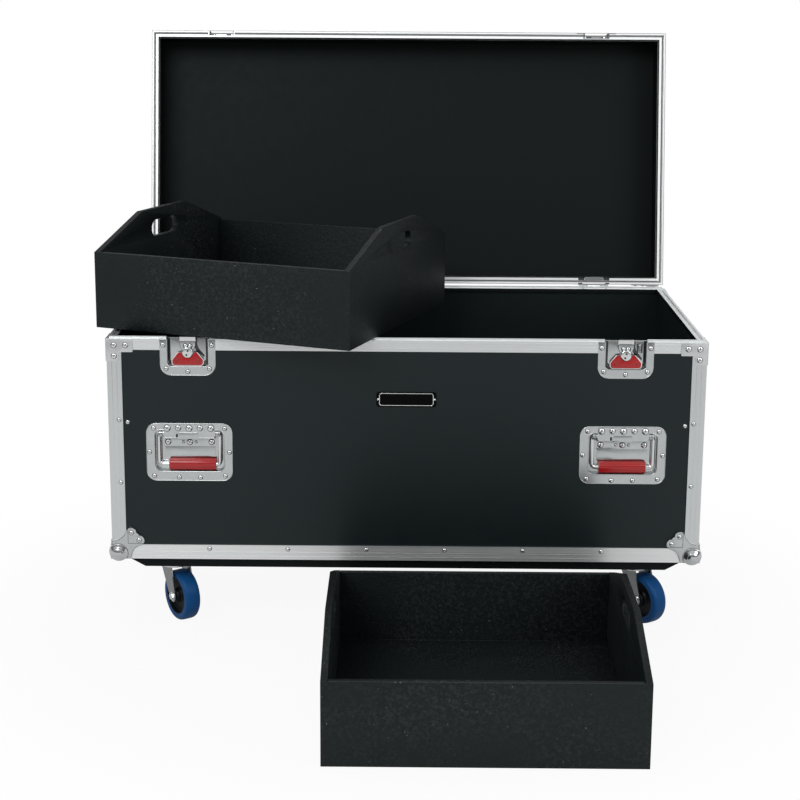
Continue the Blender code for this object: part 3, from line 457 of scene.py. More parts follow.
def slab(outline, low, high, soft=0.3):
    """A flat outline in millimetres given thickness, with the front edge eased."""
    bm = bmesh.new()
    under = bm.faces.new([bm.verts.new((x * MM, y * MM, low * MM)) for x, y in outline])
    made = bmesh.ops.extrude_face_region(bm, geom=[under], use_keep_orig=True)["geom"]
    top = [v for v in made if isinstance(v, bmesh.types.BMVert)]
    bmesh.ops.translate(bm, verts=top, vec=(0, 0, (high - low) * MM))
    if soft:
        rim = set(top)
        edges = [e for e in bm.edges if e.verts[0] in rim and e.verts[1] in rim]
        bmesh.ops.bevel(
            bm, geom=edges, offset=soft * MM, segments=2, profile=0.6, affect="EDGES", clamp_overlap=True
        )
    return bm


def tube(points, radius, sides=10, closed=False):
    """A round bar along points in millimetres."""
    bm = bmesh.new()
    points = [Vector((*point, 0)[:3]) * MM for point in points]
    count = len(points)
    up = Vector((0, 0, 1))
    rings = []
    for i, point in enumerate(points):
        before = points[(i - 1) % count] if closed or i else point
        after = points[(i + 1) % count] if closed or i < count - 1 else point
        along = (after - before).normalized()
        side = along.cross(up).normalized()
        out = side.cross(along)
        ring = []
        for k in range(sides):
            turn = 2 * math.pi * k / sides
            ring.append(bm.verts.new(point + (side * math.cos(turn) + out * math.sin(turn)) * radius * MM))
        rings.append(ring)
    return skin(bm, rings, closed)


def bottom(half, down, corner, steps=6):
    """The lower end of an outline, from its left side round two corners to its right."""
    return [
        *arc((-half + corner, -down + corner), corner, 180, 270, steps),
        *arc((half - corner, -down + corner), corner, 270, 360, steps),
    ]


def tray(half, down, corner, top):
    """An outline with a straight top edge and two round corners below."""
    return [*bottom(half, down, corner), (half, top), (-half, top)]


def u_path(half, down, corner, top):
    """Down one side, round the bottom and up the other."""
    return [(-half, top), *bottom(half, down, corner, 7), (half, top)]


def helix(start, end, radius, turns, steps=14):
    """Points wound round a straight line in the XY plane."""
    start, end = Vector((*start, 0)), Vector((*end, 0))
    across = (end - start).normalized().cross(Vector((0, 0, 1)))
    points = []
    for i in range(turns * steps + 1):
        turn = 2 * math.pi * i / steps
        spot = start.lerp(end, i / (turns * steps))
        points.append(spot + across * radius * math.cos(turn) + Vector((0, 0, radius * math.sin(turn))))
    return points


# The spring handle, in millimetres from the middle of its dish, with Z out of the case's face
FLANGE_BEAD, RECESS_BEAD, RECESS_UP = (164.8, 113.8, 18.4), (134.4, 83.4, 12.7), 2.5
RECESS_BACK, RECESS_PLATE = -13.2, -10.2
EDGE_RIVETS = ((68.5, 47.5), (77, 0), (68.5, -47.5), (20.5, -50.5))
BAIL_HALF, BAIL_LONG, BAIL_BEND, PIVOT_UP, PIVOT_IN = 58.5, 61, 7, 36, 6
BAIL_END, BAIL_RADIUS = 24, 4.25
SPRING_FROM, SPRING_TO, SPRING_RADIUS, SPRING_WIRE = 49, 60, 6.3, 1.1


def bail_line():
    """The bail's rod, from one end on the pivot's axis down round the grip to the other end."""
    x = BAIL_BEND - BAIL_HALF
    first = arc((x, -BAIL_BEND), BAIL_BEND, 90, 180, 8)
    second = arc((x, BAIL_BEND - BAIL_LONG), BAIL_BEND, 180, 270, 8)
    left = [(-BAIL_END, 0), *first, *second]
    return left + [(-x, y) for x, y in reversed(left)]


def grip_shape(slip):
    """A moulded grip: a flattened round with two shallow grooves along it and eased ends."""
    bm = bmesh.new()
    stations = ((-45.4, 0.90), (-45.0, 0.965), (-44.0, 1.0), (44.0, 1.0), (45.0, 0.965), (45.4, 0.90))
    sides, wide, thick = 56, 11.5, 6.2
    groove_at, groove_wide, groove_deep = 6.6, 0.7, 1.1
    rings = []
    for x, scale in stations:
        ring = []
        for i in range(sides):
            turn = 2 * math.pi * i / sides
            across, out = math.cos(turn), math.sin(turn)
            y = wide * across
            off = (abs(y) - groove_at) / groove_wide
            groove = math.exp(-(off ** 2)) * groove_deep * (1 if out > 0 else 0.6)
            z = thick * math.copysign(abs(out) ** 0.95, out) - math.copysign(groove, out)
            ring.append(bm.verts.new(((x + slip) * MM, y * scale * MM, z * scale * MM)))
        rings.append(ring)
    return skin(bm, rings)


def dress_handle(name, place, slip=0.0):
    """The dish's beads, plates and rivets, and the bail with its springs and its grip."""
    recess = rounded(*RECESS_BEAD, (0, RECESS_UP))
    piece(f"{name}_beads", "case", DISH, [
        (tube(rounded(*FLANGE_BEAD), 0.8, closed=True), place @ at(z=-1.5)),
        (tube(recess, 1.1, closed=True), place @ at(z=-1.7)),
        (tube([(-48, 28.4), (48, 28.4)], 1.3), place @ at(z=-0.7)),
    ])
    # Each row of heads: their radius, height, level and places
    rows = (
        (4.1, 1.9, -1.0, [(side * x, y) for x, y in EDGE_RIVETS for side in (1, -1)]),
        (6.2, 2.8, 0.4, [(x, 48.0) for x in (-42, 0, 42)]),
        (5.4, 2.5, 0.4, [(x, 48.5) for x in (-21, 21)]),
        (5.6, 2.6, RECESS_PLATE, [(x, 18) for x in (-42, 0, 42)]),
        (2.4, 1.3, RECESS_PLATE, [(x, 18) for x in (-12.5, 12)]),
    )
    spots = [(radius, height, place @ at(x, y, z)) for radius, height, z, row in rows for x, y in row]
    rivets(f"{name}_rivets", "case", spots)
    piece(f"{name}_plates", "case", DISH, [
        (slab(rounded(39, 12.5, 3, (-1.5, 33)), 0.0, 1.7, 1.0), place),
        (slab(rounded(101, 18, 2, (0, 18)), RECESS_BACK, RECESS_PLATE, 0.7), place),
        (slab(rounded(98, 23, 2, (0, -2.6)), RECESS_BACK, -11.7, 0.5), place),
    ])
    # Dark sheets along the recess's sides and top: painted shade on its walls.
    upright, level = (1.2, 72, 0.4), (112, 1.2, 0.4)
    span = (-12.5, -1.2, 0.1)
    walls = [(slab(rounded(*upright, (side * 66.6, RECESS_UP)), *span), place) for side in SIDES]
    walls.append((slab(rounded(*level, (0, 43.6)), *span), place))
    piece(f"{name}_recess_wall_shade", "case", FORK, walls)
    # A black inset: painted shade in the slot beside the small plate.
    piece(f"{name}_slot", "case", BLACK, [(slab(rounded(3.4, 7.5, 1.5, (-23.5, 33)), 0.0, 0.7, 0.2), place)])
    pivot = place @ at(0, PIVOT_UP, -PIVOT_IN)
    rod = [(tube(bail_line(), BAIL_RADIUS, sides=18), pivot)]
    piece(f"{name}_bail_rod", name, ZINC, rod, replaces=f"{name}_bail")
    springs, cores = [], []
    core_wide, core_long = SPRING_RADIUS - 0.9, SPRING_TO - SPRING_FROM
    for side in SIDES:
        wound = helix((side * SPRING_FROM, 0), (side * SPRING_TO, 0), SPRING_RADIUS, 4)
        springs.append((tube(wound, SPRING_WIRE, sides=6), pivot))
        core = lathe([(0, 0), (core_wide, 0), (core_wide, core_long), (0, core_long)], 16)
        cores.append((core, pivot @ at(side * SPRING_FROM) @ Matrix.Rotation(side * math.pi / 2, 4, "Y")))
    # Dark rods filling the springs: painted shade inside the coils.
    piece(f"{name}_spring_core_shade", name, SHADE_DARK, cores)
    piece(f"{name}_springs", name, ZINC, springs)
    grip = [(grip_shape(slip), pivot @ at(0, -BAIL_LONG, 0))]
    piece(f"{name}_moulded_grip", name, RED, grip, replaces=f"{name}_grip")


def wing_outline(grow=0.0):
    """The latch's wing, in millimetres from its spindle, larger all round by grow."""
    half, long, shoulder, flare, corner, notch = 29 + grow, 24.5 + grow, 17 + grow, 13.5, 5 + grow, 11
    flank = [(half, -flare - 1.2), (half - 0.7, -flare), (shoulder + 0.9, -0.7), (shoulder - 0.3, 0)]
    return [
        *bottom(half, long, corner),
        *flank,
        *arc((0, 0), notch, 0, -180, 16),
        *((-x, y) for x, y in reversed(flank)),
    ]


# The latch, in millimetres from the rim's top edge, with Z out of the case's face
SPINDLE_DOWN, RECESS_HALF, SHIELD_MIDDLE, WINDOW_X = 26.5, 38.2, -14, 26.5
DOME_AT, WING_RIVET_AT = (4.4, -14.6, -4.0), (20.2, -15.2)


def dress_latch(name, place):
    """The dish's beads, works and rivets, and the fine parts of its disc and wing."""
    piece(f"{name}_beads", "case", DISH, [
        (tube(u_path(52.3, 71.3, 20.3, -24), 0.8), place @ at(z=-1.5)),
        (tube(u_path(39.7, 54.7, 8.7, -1.5), 1.1), place @ at(z=-1.7)),
    ])
    # A dark sheet on the recess floor: painted shade at the bottom of the recess.
    piece(f"{name}_recess_floor_shade", "case", SHADE_DARK, [(slab(tray(38.6, 53.6, 8, -0.4), -11.6, -11.2, 0.1), place)])
    shield = [
        *arc((10.7, -8.5), 3.5, 0, 90, 4), *arc((-10.7, -8.5), 3.5, 90, 180, 4),
        (-14.2, -14), (-11.5, -20), (-7, -25), (7, -25), (11.5, -20), (14.2, -14),
    ]
    ears = [slab(rounded(13.6, 22.0, 1.2, (side * 46.5, -12.4)), -1.2, 0.6, 0.3) for side in SIDES]
    plates = [*ears, slab(tray(34, 45, 4, -0.6), -11.3, -9.2, 0.6), slab(shield, -5.6, -4.0, 0.6)]
    piece(f"{name}_plates", "case", DISH, [(plate, place) for plate in plates])
    spots = [(4.2, 1.9, place @ at(side * 46.5, -12, 0.6)) for side in SIDES]
    spots += [(4.1, 1.8, place @ at(x, y, -1.0)) for x, y in ((-41.5, -58.5), (0, -64), (41.5, -58.5))]
    rivets(f"{name}_rivets", "case", spots)

    dome_x, dome_y, dome_z = DOME_AT
    dome_spots = [place @ at(side * dome_x, dome_y, dome_z) for side in SIDES]
    dome = [(4.2, -0.2), (4.1, 0.6), (3.5, 1.5), (2.4, 2.15), (1.2, 2.45), (0, 2.5)]
    piece(f"{name}_domes", "case", BALL, [(lathe(dome, 24), spot) for spot in dome_spots])
    shadows = [(lathe([(5.1, -0.2), (5.1, 0.25), (0, 0.25)], 24), spot) for spot in dome_spots]
    under = [(x * 1.07, (y - SHIELD_MIDDLE) * 1.05 + SHIELD_MIDDLE) for x, y in shield]
    shadows.append((slab(under, -5.8, -4.9, 0.1), place))
    # The hook's painted shadow on the plate below it.
    gap = [(12.5, -17.3), (11.9, -0.8), (18.4, -0.8), (17.6, -12.5), (21.3, -21.1), (28.9, -29.7),
           (31.8, -34.1), (30.5, -37.6), (26.1, -33.4), (16.1, -26.1)]
    shadows.append((slab(gap, -9.4, -9.05, 0.1), place))
    for side in SIDES:
        shadows.append((slab(rounded(1.2, 42, 0.4, (side * RECESS_HALF, -22)), -11, -1.5, 0.1), place))
    piece(f"{name}_shadow_gaps", "case", SHADE_DARK, shadows)
    if name == "latch_right":
        # A dark inset behind the spring: painted shade in the plate's window.
        window = slab(rounded(11, 18, 1, (WINDOW_X, -14)), -9.4, -9.0, 0.1)
        piece(f"{name}_window", "case", SHADE_DARK, [(window, place)])
        coil = helix((WINDOW_X, -22), (WINDOW_X, -6), 2.6, 8)
        piece(f"{name}_spring", "case", ZINC, [(tube(coil, 0.6, sides=6), place @ at(z=-6.6))])

    spindle = place @ at(0, -SPINDLE_DOWN)
    cap = [(9.9, -0.3), (10.0, 0.1), (9.6, 0.6), (8.8, 0.9), (5, 1.05), (0, 1.1)]
    piece(f"{name}_cap", f"{name}_rotor", ZINC, [(lathe(cap, 40), spindle @ at(z=1.5))])
    # Dark hexagons on the cap: painted shade in its two sockets.
    pits = [(slab(hexagon(2.3), 2.3, 2.65, 0.1), spindle @ at(x, y)) for x, y in ((0.6, 3.6), (-1.8, -4.4))]
    piece(f"{name}_pits", f"{name}_rotor", SHADE_DARK, pits)
    rivet_x, rivet_y = WING_RIVET_AT
    wing = [(slab(wing_outline(), -0.7, 1.5, 0.6), spindle)]
    wing += [(rivet(2.9, 0.9), spindle @ at(side * rivet_x, rivet_y, 1.5)) for side in SIDES]
    piece(f"{name}_red_wing", f"{name}_wing", RED, wing, replaces=f"{name}_wing")
    back = [(slab(wing_outline(1.8), -1.25, -0.72, 0.15), spindle)]
    piece(f"{name}_wing_back", f"{name}_wing", ALU_LID_LIT, back)
    # A dark ring under each wing rivet: painted shade at its foot.
    ring = [(3.3, 1.3), (3.3, 1.62), (0, 1.62)]
    rings = [(lathe(ring, 20), spindle @ at(side * rivet_x, rivet_y)) for side in SIDES]
    piece(f"{name}_wing_rivet_shade", f"{name}_wing", SHADE_DARK, rings)


def dress_keeper(name, place):
    """The lid's small dish: its beads, its rivets, and painted shade on its sides and end. It is the latch's
    shape upside down.
    """
    flip = place @ Matrix.Rotation(math.pi, 4, "X") @ Matrix.Diagonal((1, 1, -1, 1))
    piece(f"{name}_beads", "lid", DISH, [
        (tube(u_path(42.4, 45.4, 8.4, -0.8), 0.7), flip @ at(z=-1.4)),
        (tube(u_path(28.1, 32.6, 8.2, -0.8), 0.9), flip @ at(z=-1.6)),
    ])
    # Dark sheets on the dish's sides and end: painted shade in the recess.
    liners = [(slab(rounded(2.0, 30, 0.4, (side * 26.3, 16)), -10.5, -0.4, 0.1), place) for side in SIDES]
    end = place @ at(0, 31.6, -6) @ Matrix.Rotation(math.pi / 2, 4, "X")
    liners.append((slab(rounded(36, 6.5, 1.5), 0, 0.6, 0.1), end))
    piece(f"{name}_liners", "lid", SHADE_DARK, liners)
    spots = [(-35.5, -9), (35.5, -9), (-33, -39), (33, -39), (0, -39.5)]
    rivets(f"{name}_rivets", "lid", [(3.8, 1.7, place @ at(x, -y, -1.0)) for x, y in spots])


def corner_frames():
    """Each corner: its name, place on the floor plan and the signs that point into the case."""
    return (
        ("front_left", CASE_X - HALF, FRONT_Y, 1, 1),
        ("front_right", CASE_X + HALF, FRONT_Y, -1, 1),
        ("back_left", CASE_X - HALF, BACK_Y, 1, -1),
        ("back_right", CASE_X + HALF, BACK_Y, -1, -1),
    )


def corner_faces(x, y, into_x, into_y, z):
    """Frames on a corner's two upright faces: millimetres in from the corner, up, and out."""
    front = Matrix(((into_x, 0, 0, x), (0, 0, -into_y, y), (0, 1, 0, z), (0, 0, 0, 1)))
    side = Matrix(((0, 0, -into_x, x), (into_y, 0, 0, y), (0, 1, 0, z), (0, 0, 0, 1)))
    return front, side


def keep(bm, place, normal):
    """Cuts a closed mesh flat through a point and keeps the side that the normal points to."""
    everything = bm.verts[:] + bm.edges[:] + bm.faces[:]
    cut = bmesh.ops.bisect_plane(bm, geom=everything, plane_co=place, plane_no=normal, clear_inner=True)
    edges = [e for e in cut["geom_cut"] if isinstance(e, bmesh.types.BMEdge)]
    bmesh.ops.edgeloop_fill(bm, edges=edges)


def polished_ball(x, y, into_x, into_y, z, into_z, place):
    """The ball of a corner, without the part that would be inside the case or outside the CAD box."""
    centre = Vector((x + into_x * BALL_IN, y + into_y * BALL_IN, z + into_z * BALL_IN))
    bm = bmesh.new()
    bmesh.ops.create_uvsphere(bm, u_segments=44, v_segments=24, radius=BALL_RADIUS)
    bmesh.ops.translate(bm, verts=bm.verts, vec=centre)
    seat = 1.4 * MM
    edge = Vector((x + into_x * seat, y + into_y * seat, z + into_z * seat))
    normals = (Vector((into_x, 0, 0)), Vector((0, into_y, 0)), Vector((0, 0, into_z)))
    parts = []
    for i in range(3):
        copy = bm.copy()
        for k in range(i + 1):
            keep(copy, edge, -normals[k] if k == i else normals[k])
        parts.append(copy)
        for vert in copy.verts:
            spot = place @ vert.co
            for axis in range(3):
                spot[axis] = min(max(spot[axis], cad_box[0][axis]), cad_box[1][axis])
            vert.co = place.inverted() @ spot
    bm.free()
    return [(part, place) for part in parts]


# A ball corner's leaf, in millimetres from the corner: where its two lobes and their screws are
LOBE_FAR, LOBE_NEAR, LOBE_RADIUS = 53, 37.5, 10.5
SCREW_NEAR = 38.2
JOGGLE_IN = 0.7


def leaf_outline(shrink=0.0):
    """One leaf of a ball corner, in millimetres from the corner: a web with two round lobes."""
    radius = LOBE_RADIUS - shrink
    first = arc((LOBE_FAR, LOBE_NEAR), radius, -90, 135, 10)
    second = arc((LOBE_NEAR, LOBE_FAR), radius, -45, 180, 10)
    web = []
    for i in range(5):
        t = i / 5
        bend = 3.5 * math.sin(math.pi * t)
        x, y = 36 + (first[0][0] - 36) * t, 0.3 + shrink + (first[0][1] - 0.3 - shrink) * t
        web.append((x - bend, y + bend))
    mirrored = [(y, x) for x, y in reversed(web)]
    return [(0.3, 0.3), *web, *first, *second, *mirrored]


def joggle():
    """The outline of a leaf's part that stands on the extrusions, one step above its two lobes."""
    web = leaf_outline(JOGGLE_IN)[1:6]
    low = arc((LOBE_FAR, LOBE_NEAR), LOBE_RADIUS - JOGGLE_IN, -90, -38, 5)
    half = [*web, *low, (32.5, 31.5)]
    return [(0.9, 0.9), *half, *((y, x) for x, y in reversed(half))]


def collar(place, mitred):
    """The swell by which a ball meets one of its leaves, mitred at the corner's edges."""
    profile = [
        (0, 0), (19.3, 0), (19.3, 1.5), (19.0, 2.05), (18.0, 2.5), (16.5, 2.9), (15.0, 3.4),
        (13.6, 3.95), (12.4, 4.5), (11.4, 5.0), (10.6, 5.3), (9.9, 5.5), (0, 5.5),
    ]
    bm = lathe(profile, 44)
    centre = BALL_IN / MM
    bmesh.ops.translate(bm, verts=bm.verts, vec=Vector((centre, centre, 0)) * MM)
    origin = Vector((0, 0, 0))
    keep(bm, origin, Vector((1, 0, 1)))
    keep(bm, origin, Vector((0, 1, 1 if mitred else 0)))
    return bm, place


def brace_outline():
    """The brace at a rim's corner, in millimetres from that corner: an arm, a fillet and a foot."""
    arm_end = arc((48.8, -24.6), 1.5, 0, -90, 3)
    fillet = arc((28.8, -32.4), 6.3, 90, 180)
    foot = arc((16.3, -37.6), 6.2, 0, -90)
    return [(0.2, -0.5), (50.3, -0.5), (50.3, -24.6), *arm_end, *fillet, *foot, (0.2, -43.8)]


def dress_corner(tag, body, faces):
    """Rivets, collars, raised webs and leaf edges for one ball corner."""
    spots, collars, webs = [], [], []
    screws = ((LOBE_FAR, SCREW_NEAR), (SCREW_NEAR, LOBE_FAR))
    for face in faces:
        spots += [(4.3, 2.1, face @ at(u, v, 1.65)) for u, v in screws]
        collars.append(collar(face, len(faces) > 2))
        webs.append((slab(leaf_outline(0.2), 1.2, 1.75, 0.3), face))
        webs.append((slab(rounded(16, 16, 7.9, (45.4, 45.4)), 0.1, 1.68, 0.3), face))
        webs.append((slab(joggle(), 1.2, 2.3, 0.45), face))
        webs.append((tube(leaf_outline(0.5), 0.55, closed=True, sides=8), face @ at(z=1.1)))
    rivets(f"{tag}_rivets", body, spots)
    piece(f"{tag}_collars", body, BALL, collars)
    piece(f"{tag}_webs", body, DISH, webs)
    # Dark lines along each leaf's step and round each collar's foot: painted shade at those edges.
    centre = BALL_IN / MM
    bound = arc((centre, centre), 19.7, -34, 124, 30)
    steps = [(tube(joggle(), 0.5, closed=True, sides=8), face @ at(z=1.8)) for face in faces]
    steps += [(tube(bound, 0.65, sides=8), face @ at(z=2.1)) for face in faces]
    piece(f"{tag}_step_shade_lines", body, SHADE_DARK, steps)


def dress_corners():
    """The four ball corners of the base and of the lid, and the braces at the rim."""
    for name, x, y, into_x, into_y in corner_frames():
        dress_corner(f"corner_{name}", "case", corner_faces(x, y, into_x, into_y, BODY_Z))
        heads = ((14.5, -12.8), (36.5, -12.8), (14.5, -34))
        screws, braces = [], []
        for face in corner_faces(x, y, into_x, into_y, RIM_Z):
            screws += [(5.2, 2.2, face @ at(u, v, 1.8)) for u, v in heads]
            braces.append((slab(brace_outline(), 0.1, 1.9, 0.5), face))
        rivets(f"brace_rivets_{name}", "case", screws)
        piece(f"corner_brace_{name}", "case", STEEL, braces)
        ball = polished_ball(x, y, into_x, into_y, BODY_Z, 1, Matrix.Identity(4))
        piece(f"ball_{name}", "case", BALL, ball, sharp=60)
        top = RIM_Z + LID_HIGH
        ball = polished_ball(x, y, into_x, into_y, top, -1, LID)
        piece(f"lid_ball_{name}", "lid", BALL, ball, sharp=60)
        turned = Matrix.Diagonal((1, -1, 1, 1))
        cap = Matrix(((into_x, 0, 0, x), (0, into_y, 0, y), (0, 0, 1, top), (0, 0, 0, 1)))
        faces = [face @ turned for face in corner_faces(x, y, into_x, into_y, top)]
        dress_corner(f"lid_corner_{name}", "lid", [LID @ face for face in (*faces, cap)])


def rib(start, end, wide, proud):
    """A thin raised line along an extrusion, drawn in a face's millimetres."""
    (x0, y0), (x1, y1) = start, end
    if abs(x1 - x0) > abs(y1 - y0):
        outline = [(x0, y0 - wide / 2), (x1, y0 - wide / 2), (x1, y0 + wide / 2), (x0, y0 + wide / 2)]
    else:
        outline = [(x0 - wide / 2, y0), (x0 + wide / 2, y0), (x0 + wide / 2, y1), (x0 - wide / 2, y1)]
    return slab(outline, -0.2, proud, proud * 0.6)


def dress_edges():
    """Rib lines along the extrusions and the rows of rivets, on each side of the case."""
    base, top = BODY_Z / MM, RIM_Z / MM
    brace, leaf, latch_half, first_rivet, rivet_pitch = 48.5, 62, 53.6, 190, 153
    case_faces = {
        "front": (Matrix.Translation((CASE_X - HALF, FRONT_Y, 0)) @ FRONT, 2 * HALF / MM),
        "back": (Matrix.Translation((CASE_X + HALF, BACK_Y, 0)) @ BACK, 2 * HALF / MM),
        "left": (Matrix.Translation((CASE_X - HALF, BACK_Y, 0)) @ LEFT, DEEP / MM),
        "right": (Matrix.Translation((CASE_X + HALF, FRONT_Y, 0)) @ RIGHT, DEEP / MM),
    }
    for name, (face, wide) in case_faces.items():
        spans = [(brace, wide - brace)]
        if name == "front":
            latch = wide / 2 - LATCH_OUT / MM
            spans = [
                (brace, latch - latch_half),
                (latch + latch_half, wide - latch - latch_half),
                (wide - latch + latch_half, wide - brace),
            ]
        parts = []
        for start, end in spans:
            for down in (4.6, 11.6, 16.6):
                parts.append((rib((start, top - down), (end, top - down), 1.0, 0.3), face))
        for up in (6.5, 14.5):
            parts.append((rib((leaf, base + up), (wide - leaf, base + up), 0.9, 0.25), face))
        piece(f"ribs_{name}", "case", ALU_LONG, parts)
        uprights = []
        for u in (9.5, 19.0):
            for x in (u, wide - u):
                uprights.append((rib((x, base + 64), (x, top - 46), 0.9, 0.2), face))
        piece(f"upright_ribs_{name}", "case", ALU_UP_SHADED, uprights)
        count = round((wide - 2 * first_rivet) / rivet_pitch)
        step = (wide - 2 * first_rivet) / count
        places = [(first_rivet + i * step, 21.2, 0) for i in range(count + 1)]
        places += [(x, up, 0) for x in (20.5, wide - 20.5) for up in (155, 280)]
        places += [(x, 275, -FACE_IN / MM) for x in (36.5, wide - 36.5)]
        rivets(f"rivets_{name}", "case", [(3.9, 1.7, face @ at(x, base + up, z)) for x, up, z in places])


def frame_strip(inner, wide, low, high, place):
    """A flat strip that follows the rim all the way round, given in millimetres in from its outside."""
    bm = bmesh.new()
    loops = []
    for inward, height in ((inner, low), (inner + wide, low), (inner + wide, high), (inner, high)):
        x0, x1 = CASE_X - HALF + inward * MM, CASE_X + HALF - inward * MM
        y0, y1 = FRONT_Y + inward * MM, BACK_Y - inward * MM
        z = RIM_Z + height * MM
        loops.append([bm.verts.new(v) for v in ((x0, y0, z), (x1, y0, z), (x1, y1, z), (x0, y1, z))])
    for loop, following in zip(loops, loops[1:] + loops[:1]):
        for i in range(4):
            k = (i + 1) % 4
            bm.faces.new((loop[i], loop[k], following[k], following[i]))
    return bm, place


def dress_rims():
    """Painted shade in the lid rim's groove, the lid rim's dark inner edge, and the dark lining of the body
    rim's inner leg.
    """
    # A grey strip at the groove's bottom: painted shade in the groove.
    piece("lid_groove_shade", "lid", STRIP, [frame_strip(5.0, 3.0, 4.8, 5.9, LID)])
    piece("lid_outer_line", "lid", STRIP, [frame_strip(0.2, 0.9, 0.25, 0.7, LID)])
    piece("lid_inner_edge", "lid", INSIDE, [frame_strip(14.2, 2.35, 0.25, 0.7, LID)])
    clear, leg = 0.1, 9.8
    walls = [(2 * HALF, Matrix.Translation((CASE_X, BACK_Y - RIM_IN, RIM_Z)) @ FRONT)]
    for side, turn in ((-1, RIGHT), (1, LEFT)):
        walls.append((DEEP, Matrix.Translation((CASE_X + side * (HALF - RIM_IN), MIDDLE_Y, RIM_Z)) @ turn))
    liners = []
    for wide, spot in walls:
        long = (wide - 2 * RIM_IN) / MM - 2 * clear
        liners.append((slab(rounded(long, leg, 0.1, (0, -5.0)), 0, 0.25, 0.05), spot))
    piece("body_rim_liner", "case", INSIDE, liners)


def dress_lid_skins():
    """The laminate on the lid's outer faces, left open where the keepers are let in."""
    edge, keeper_half, keeper_top = 3, 41, 44
    half, depth = HALF / MM - edge, DEEP / MM / 2 - edge
    low, high = edge, LID_HIGH / MM - edge
    near, far = LATCH_OUT / MM - keeper_half, LATCH_OUT / MM + keeper_half
    face = LID @ Matrix.Translation((CASE_X, FRONT_Y, RIM_Z)) @ FRONT
    skins = [(x0, x1, low, high, face) for x0, x1 in ((-half, -far), (-near, near), (far, half))]
    skins += [(x0, x1, keeper_top, high, face) for x0, x1 in ((-far, -near), (near, far))]
    skins.append((-half, half, low, high, LID @ Matrix.Translation((CASE_X, BACK_Y, RIM_Z)) @ BACK))
    for side, turn in ((-1, LEFT), (1, RIGHT)):
        spot = LID @ Matrix.Translation((CASE_X + side * HALF, MIDDLE_Y, RIM_Z)) @ turn
        skins.append((-depth, depth, low, high, spot))
    top = LID @ Matrix.Translation((CASE_X, MIDDLE_Y, RIM_Z + LID_HIGH))
    skins.append((-half, half, -depth, depth, top))
    parts = []
    for x0, x1, y0, y1, spot in skins:
        sheet = rounded(x1 - x0, y1 - y0, 0.3, ((x0 + x1) / 2, (y0 + y1) / 2))
        parts.append((slab(sheet, -2.28, -2.1, 0.02), spot))
    piece("lid_laminate", "lid", PANEL, parts)


def dress_hinge(name, x):
    """The hinge's cover plates on the two rims, thin enough for the lid to shut on them."""
    rim = Matrix.Translation((x, BACK_Y, RIM_Z))
    lid_rim = LID @ rim
    # Dark sheets beside the lid's plate: painted shade in the gaps round the hinge.
    dark = [slab(rounded(13.5, 7.2, 0.8, (side * 28, -12.8)), 0.25, 0.5, 0.05) for side in SIDES]
    dark += [slab(rounded(9, 3.4, 0.8, (side * 30, -2.1)), 0.25, 0.5, 0.05) for side in SIDES]
    piece(f"{name}_lid_notch_shade", "lid", SHADE_DARK, [(part, lid_rim) for part in dark])
    plate = slab(rounded(41, 7.2, 0.8, (0, -12.8)), 0.22, 0.5, 0.1)
    piece(f"{name}_lid_plate", "lid", DISH, [(plate, lid_rim)])
    # Dark lines on the body rim beside the hinge: painted shade in its gaps.
    lines = [slab(rounded(2.2, 16, 0.4, (side * 25.5, -8.4)), 0, 0.22, 0.05) for side in SIDES]
    lines += [slab(rounded(2.2, 2.8, 0.4, (side * 25.5, -6.5)), 4, 4.2, 0.05) for side in SIDES]
    piece(f"{name}_rim_shade_lines", "case", SHADE_DARK, [(part, rim) for part in lines])
    spots = [(u, v) for u in (-21, 0, 21) for v in (17, 31)]
    rivets(f"{name}_lid_screws", "lid", [(3.5, 1.4, lid_rim @ BACK @ at(u, v, 2.3)) for u, v in spots])
    rivets(f"{name}_body_screws", "case", [(3.5, 1.4, rim @ BACK @ at(u, -v, 2.3)) for u, v in spots])


def dress_name_plate():
    """A bright line round the bare plate, and its two rivets."""
    low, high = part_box("name_plate")
    middle = (low + high) / 2
    place = Matrix.Translation((middle.x, low.y, middle.z)) @ FRONT
    parts = [(tube(rounded(103, 23.5, 4.5), 0.85, closed=True), place)]
    parts += [(rivet(2.4, 1.2), place @ at(side * 54, 0)) for side in SIDES]
    piece("name_plate_line", "case", ZINC, parts)


def dress_wheel(name):
    """A moulded tread on a dark core, in place of the plain wheel."""
    roll = JOINTS[name.replace("_wheel", "_roll")]
    place = Matrix.Translation(Vector(roll["pos_m"])) @ facing(Vector(roll["axis"]))
    tread = [(37, -15.2), (44.5, -15.8), (46.6, -15.2), (48.4, -13.6), (49.5, -11.2), (49.95, -8), (50, 0)]
    tread += [(radius, -height) for radius, height in reversed(tread[:-1])]
    core = [
        (4.4, -18.4), (9, -18.4), (11.5, -17.6), (12.8, -16.0), (13.4, -9.5), (16, -7.0),
        (31, -6.0), (34.4, -8.0), (35.4, -14.4), (36.2, -15.0), (37.2, -15.0),
    ]
    core += [(radius, -height) for radius, height in reversed(core)]
    piece(name.replace("wheel", "tread"), name, BLUE, [(lathe_ring(tread, 72), place)], replaces=name)
    piece(name.replace("wheel", "core"), name, BLUE_DARK, [(lathe_ring(core, 56), place)])


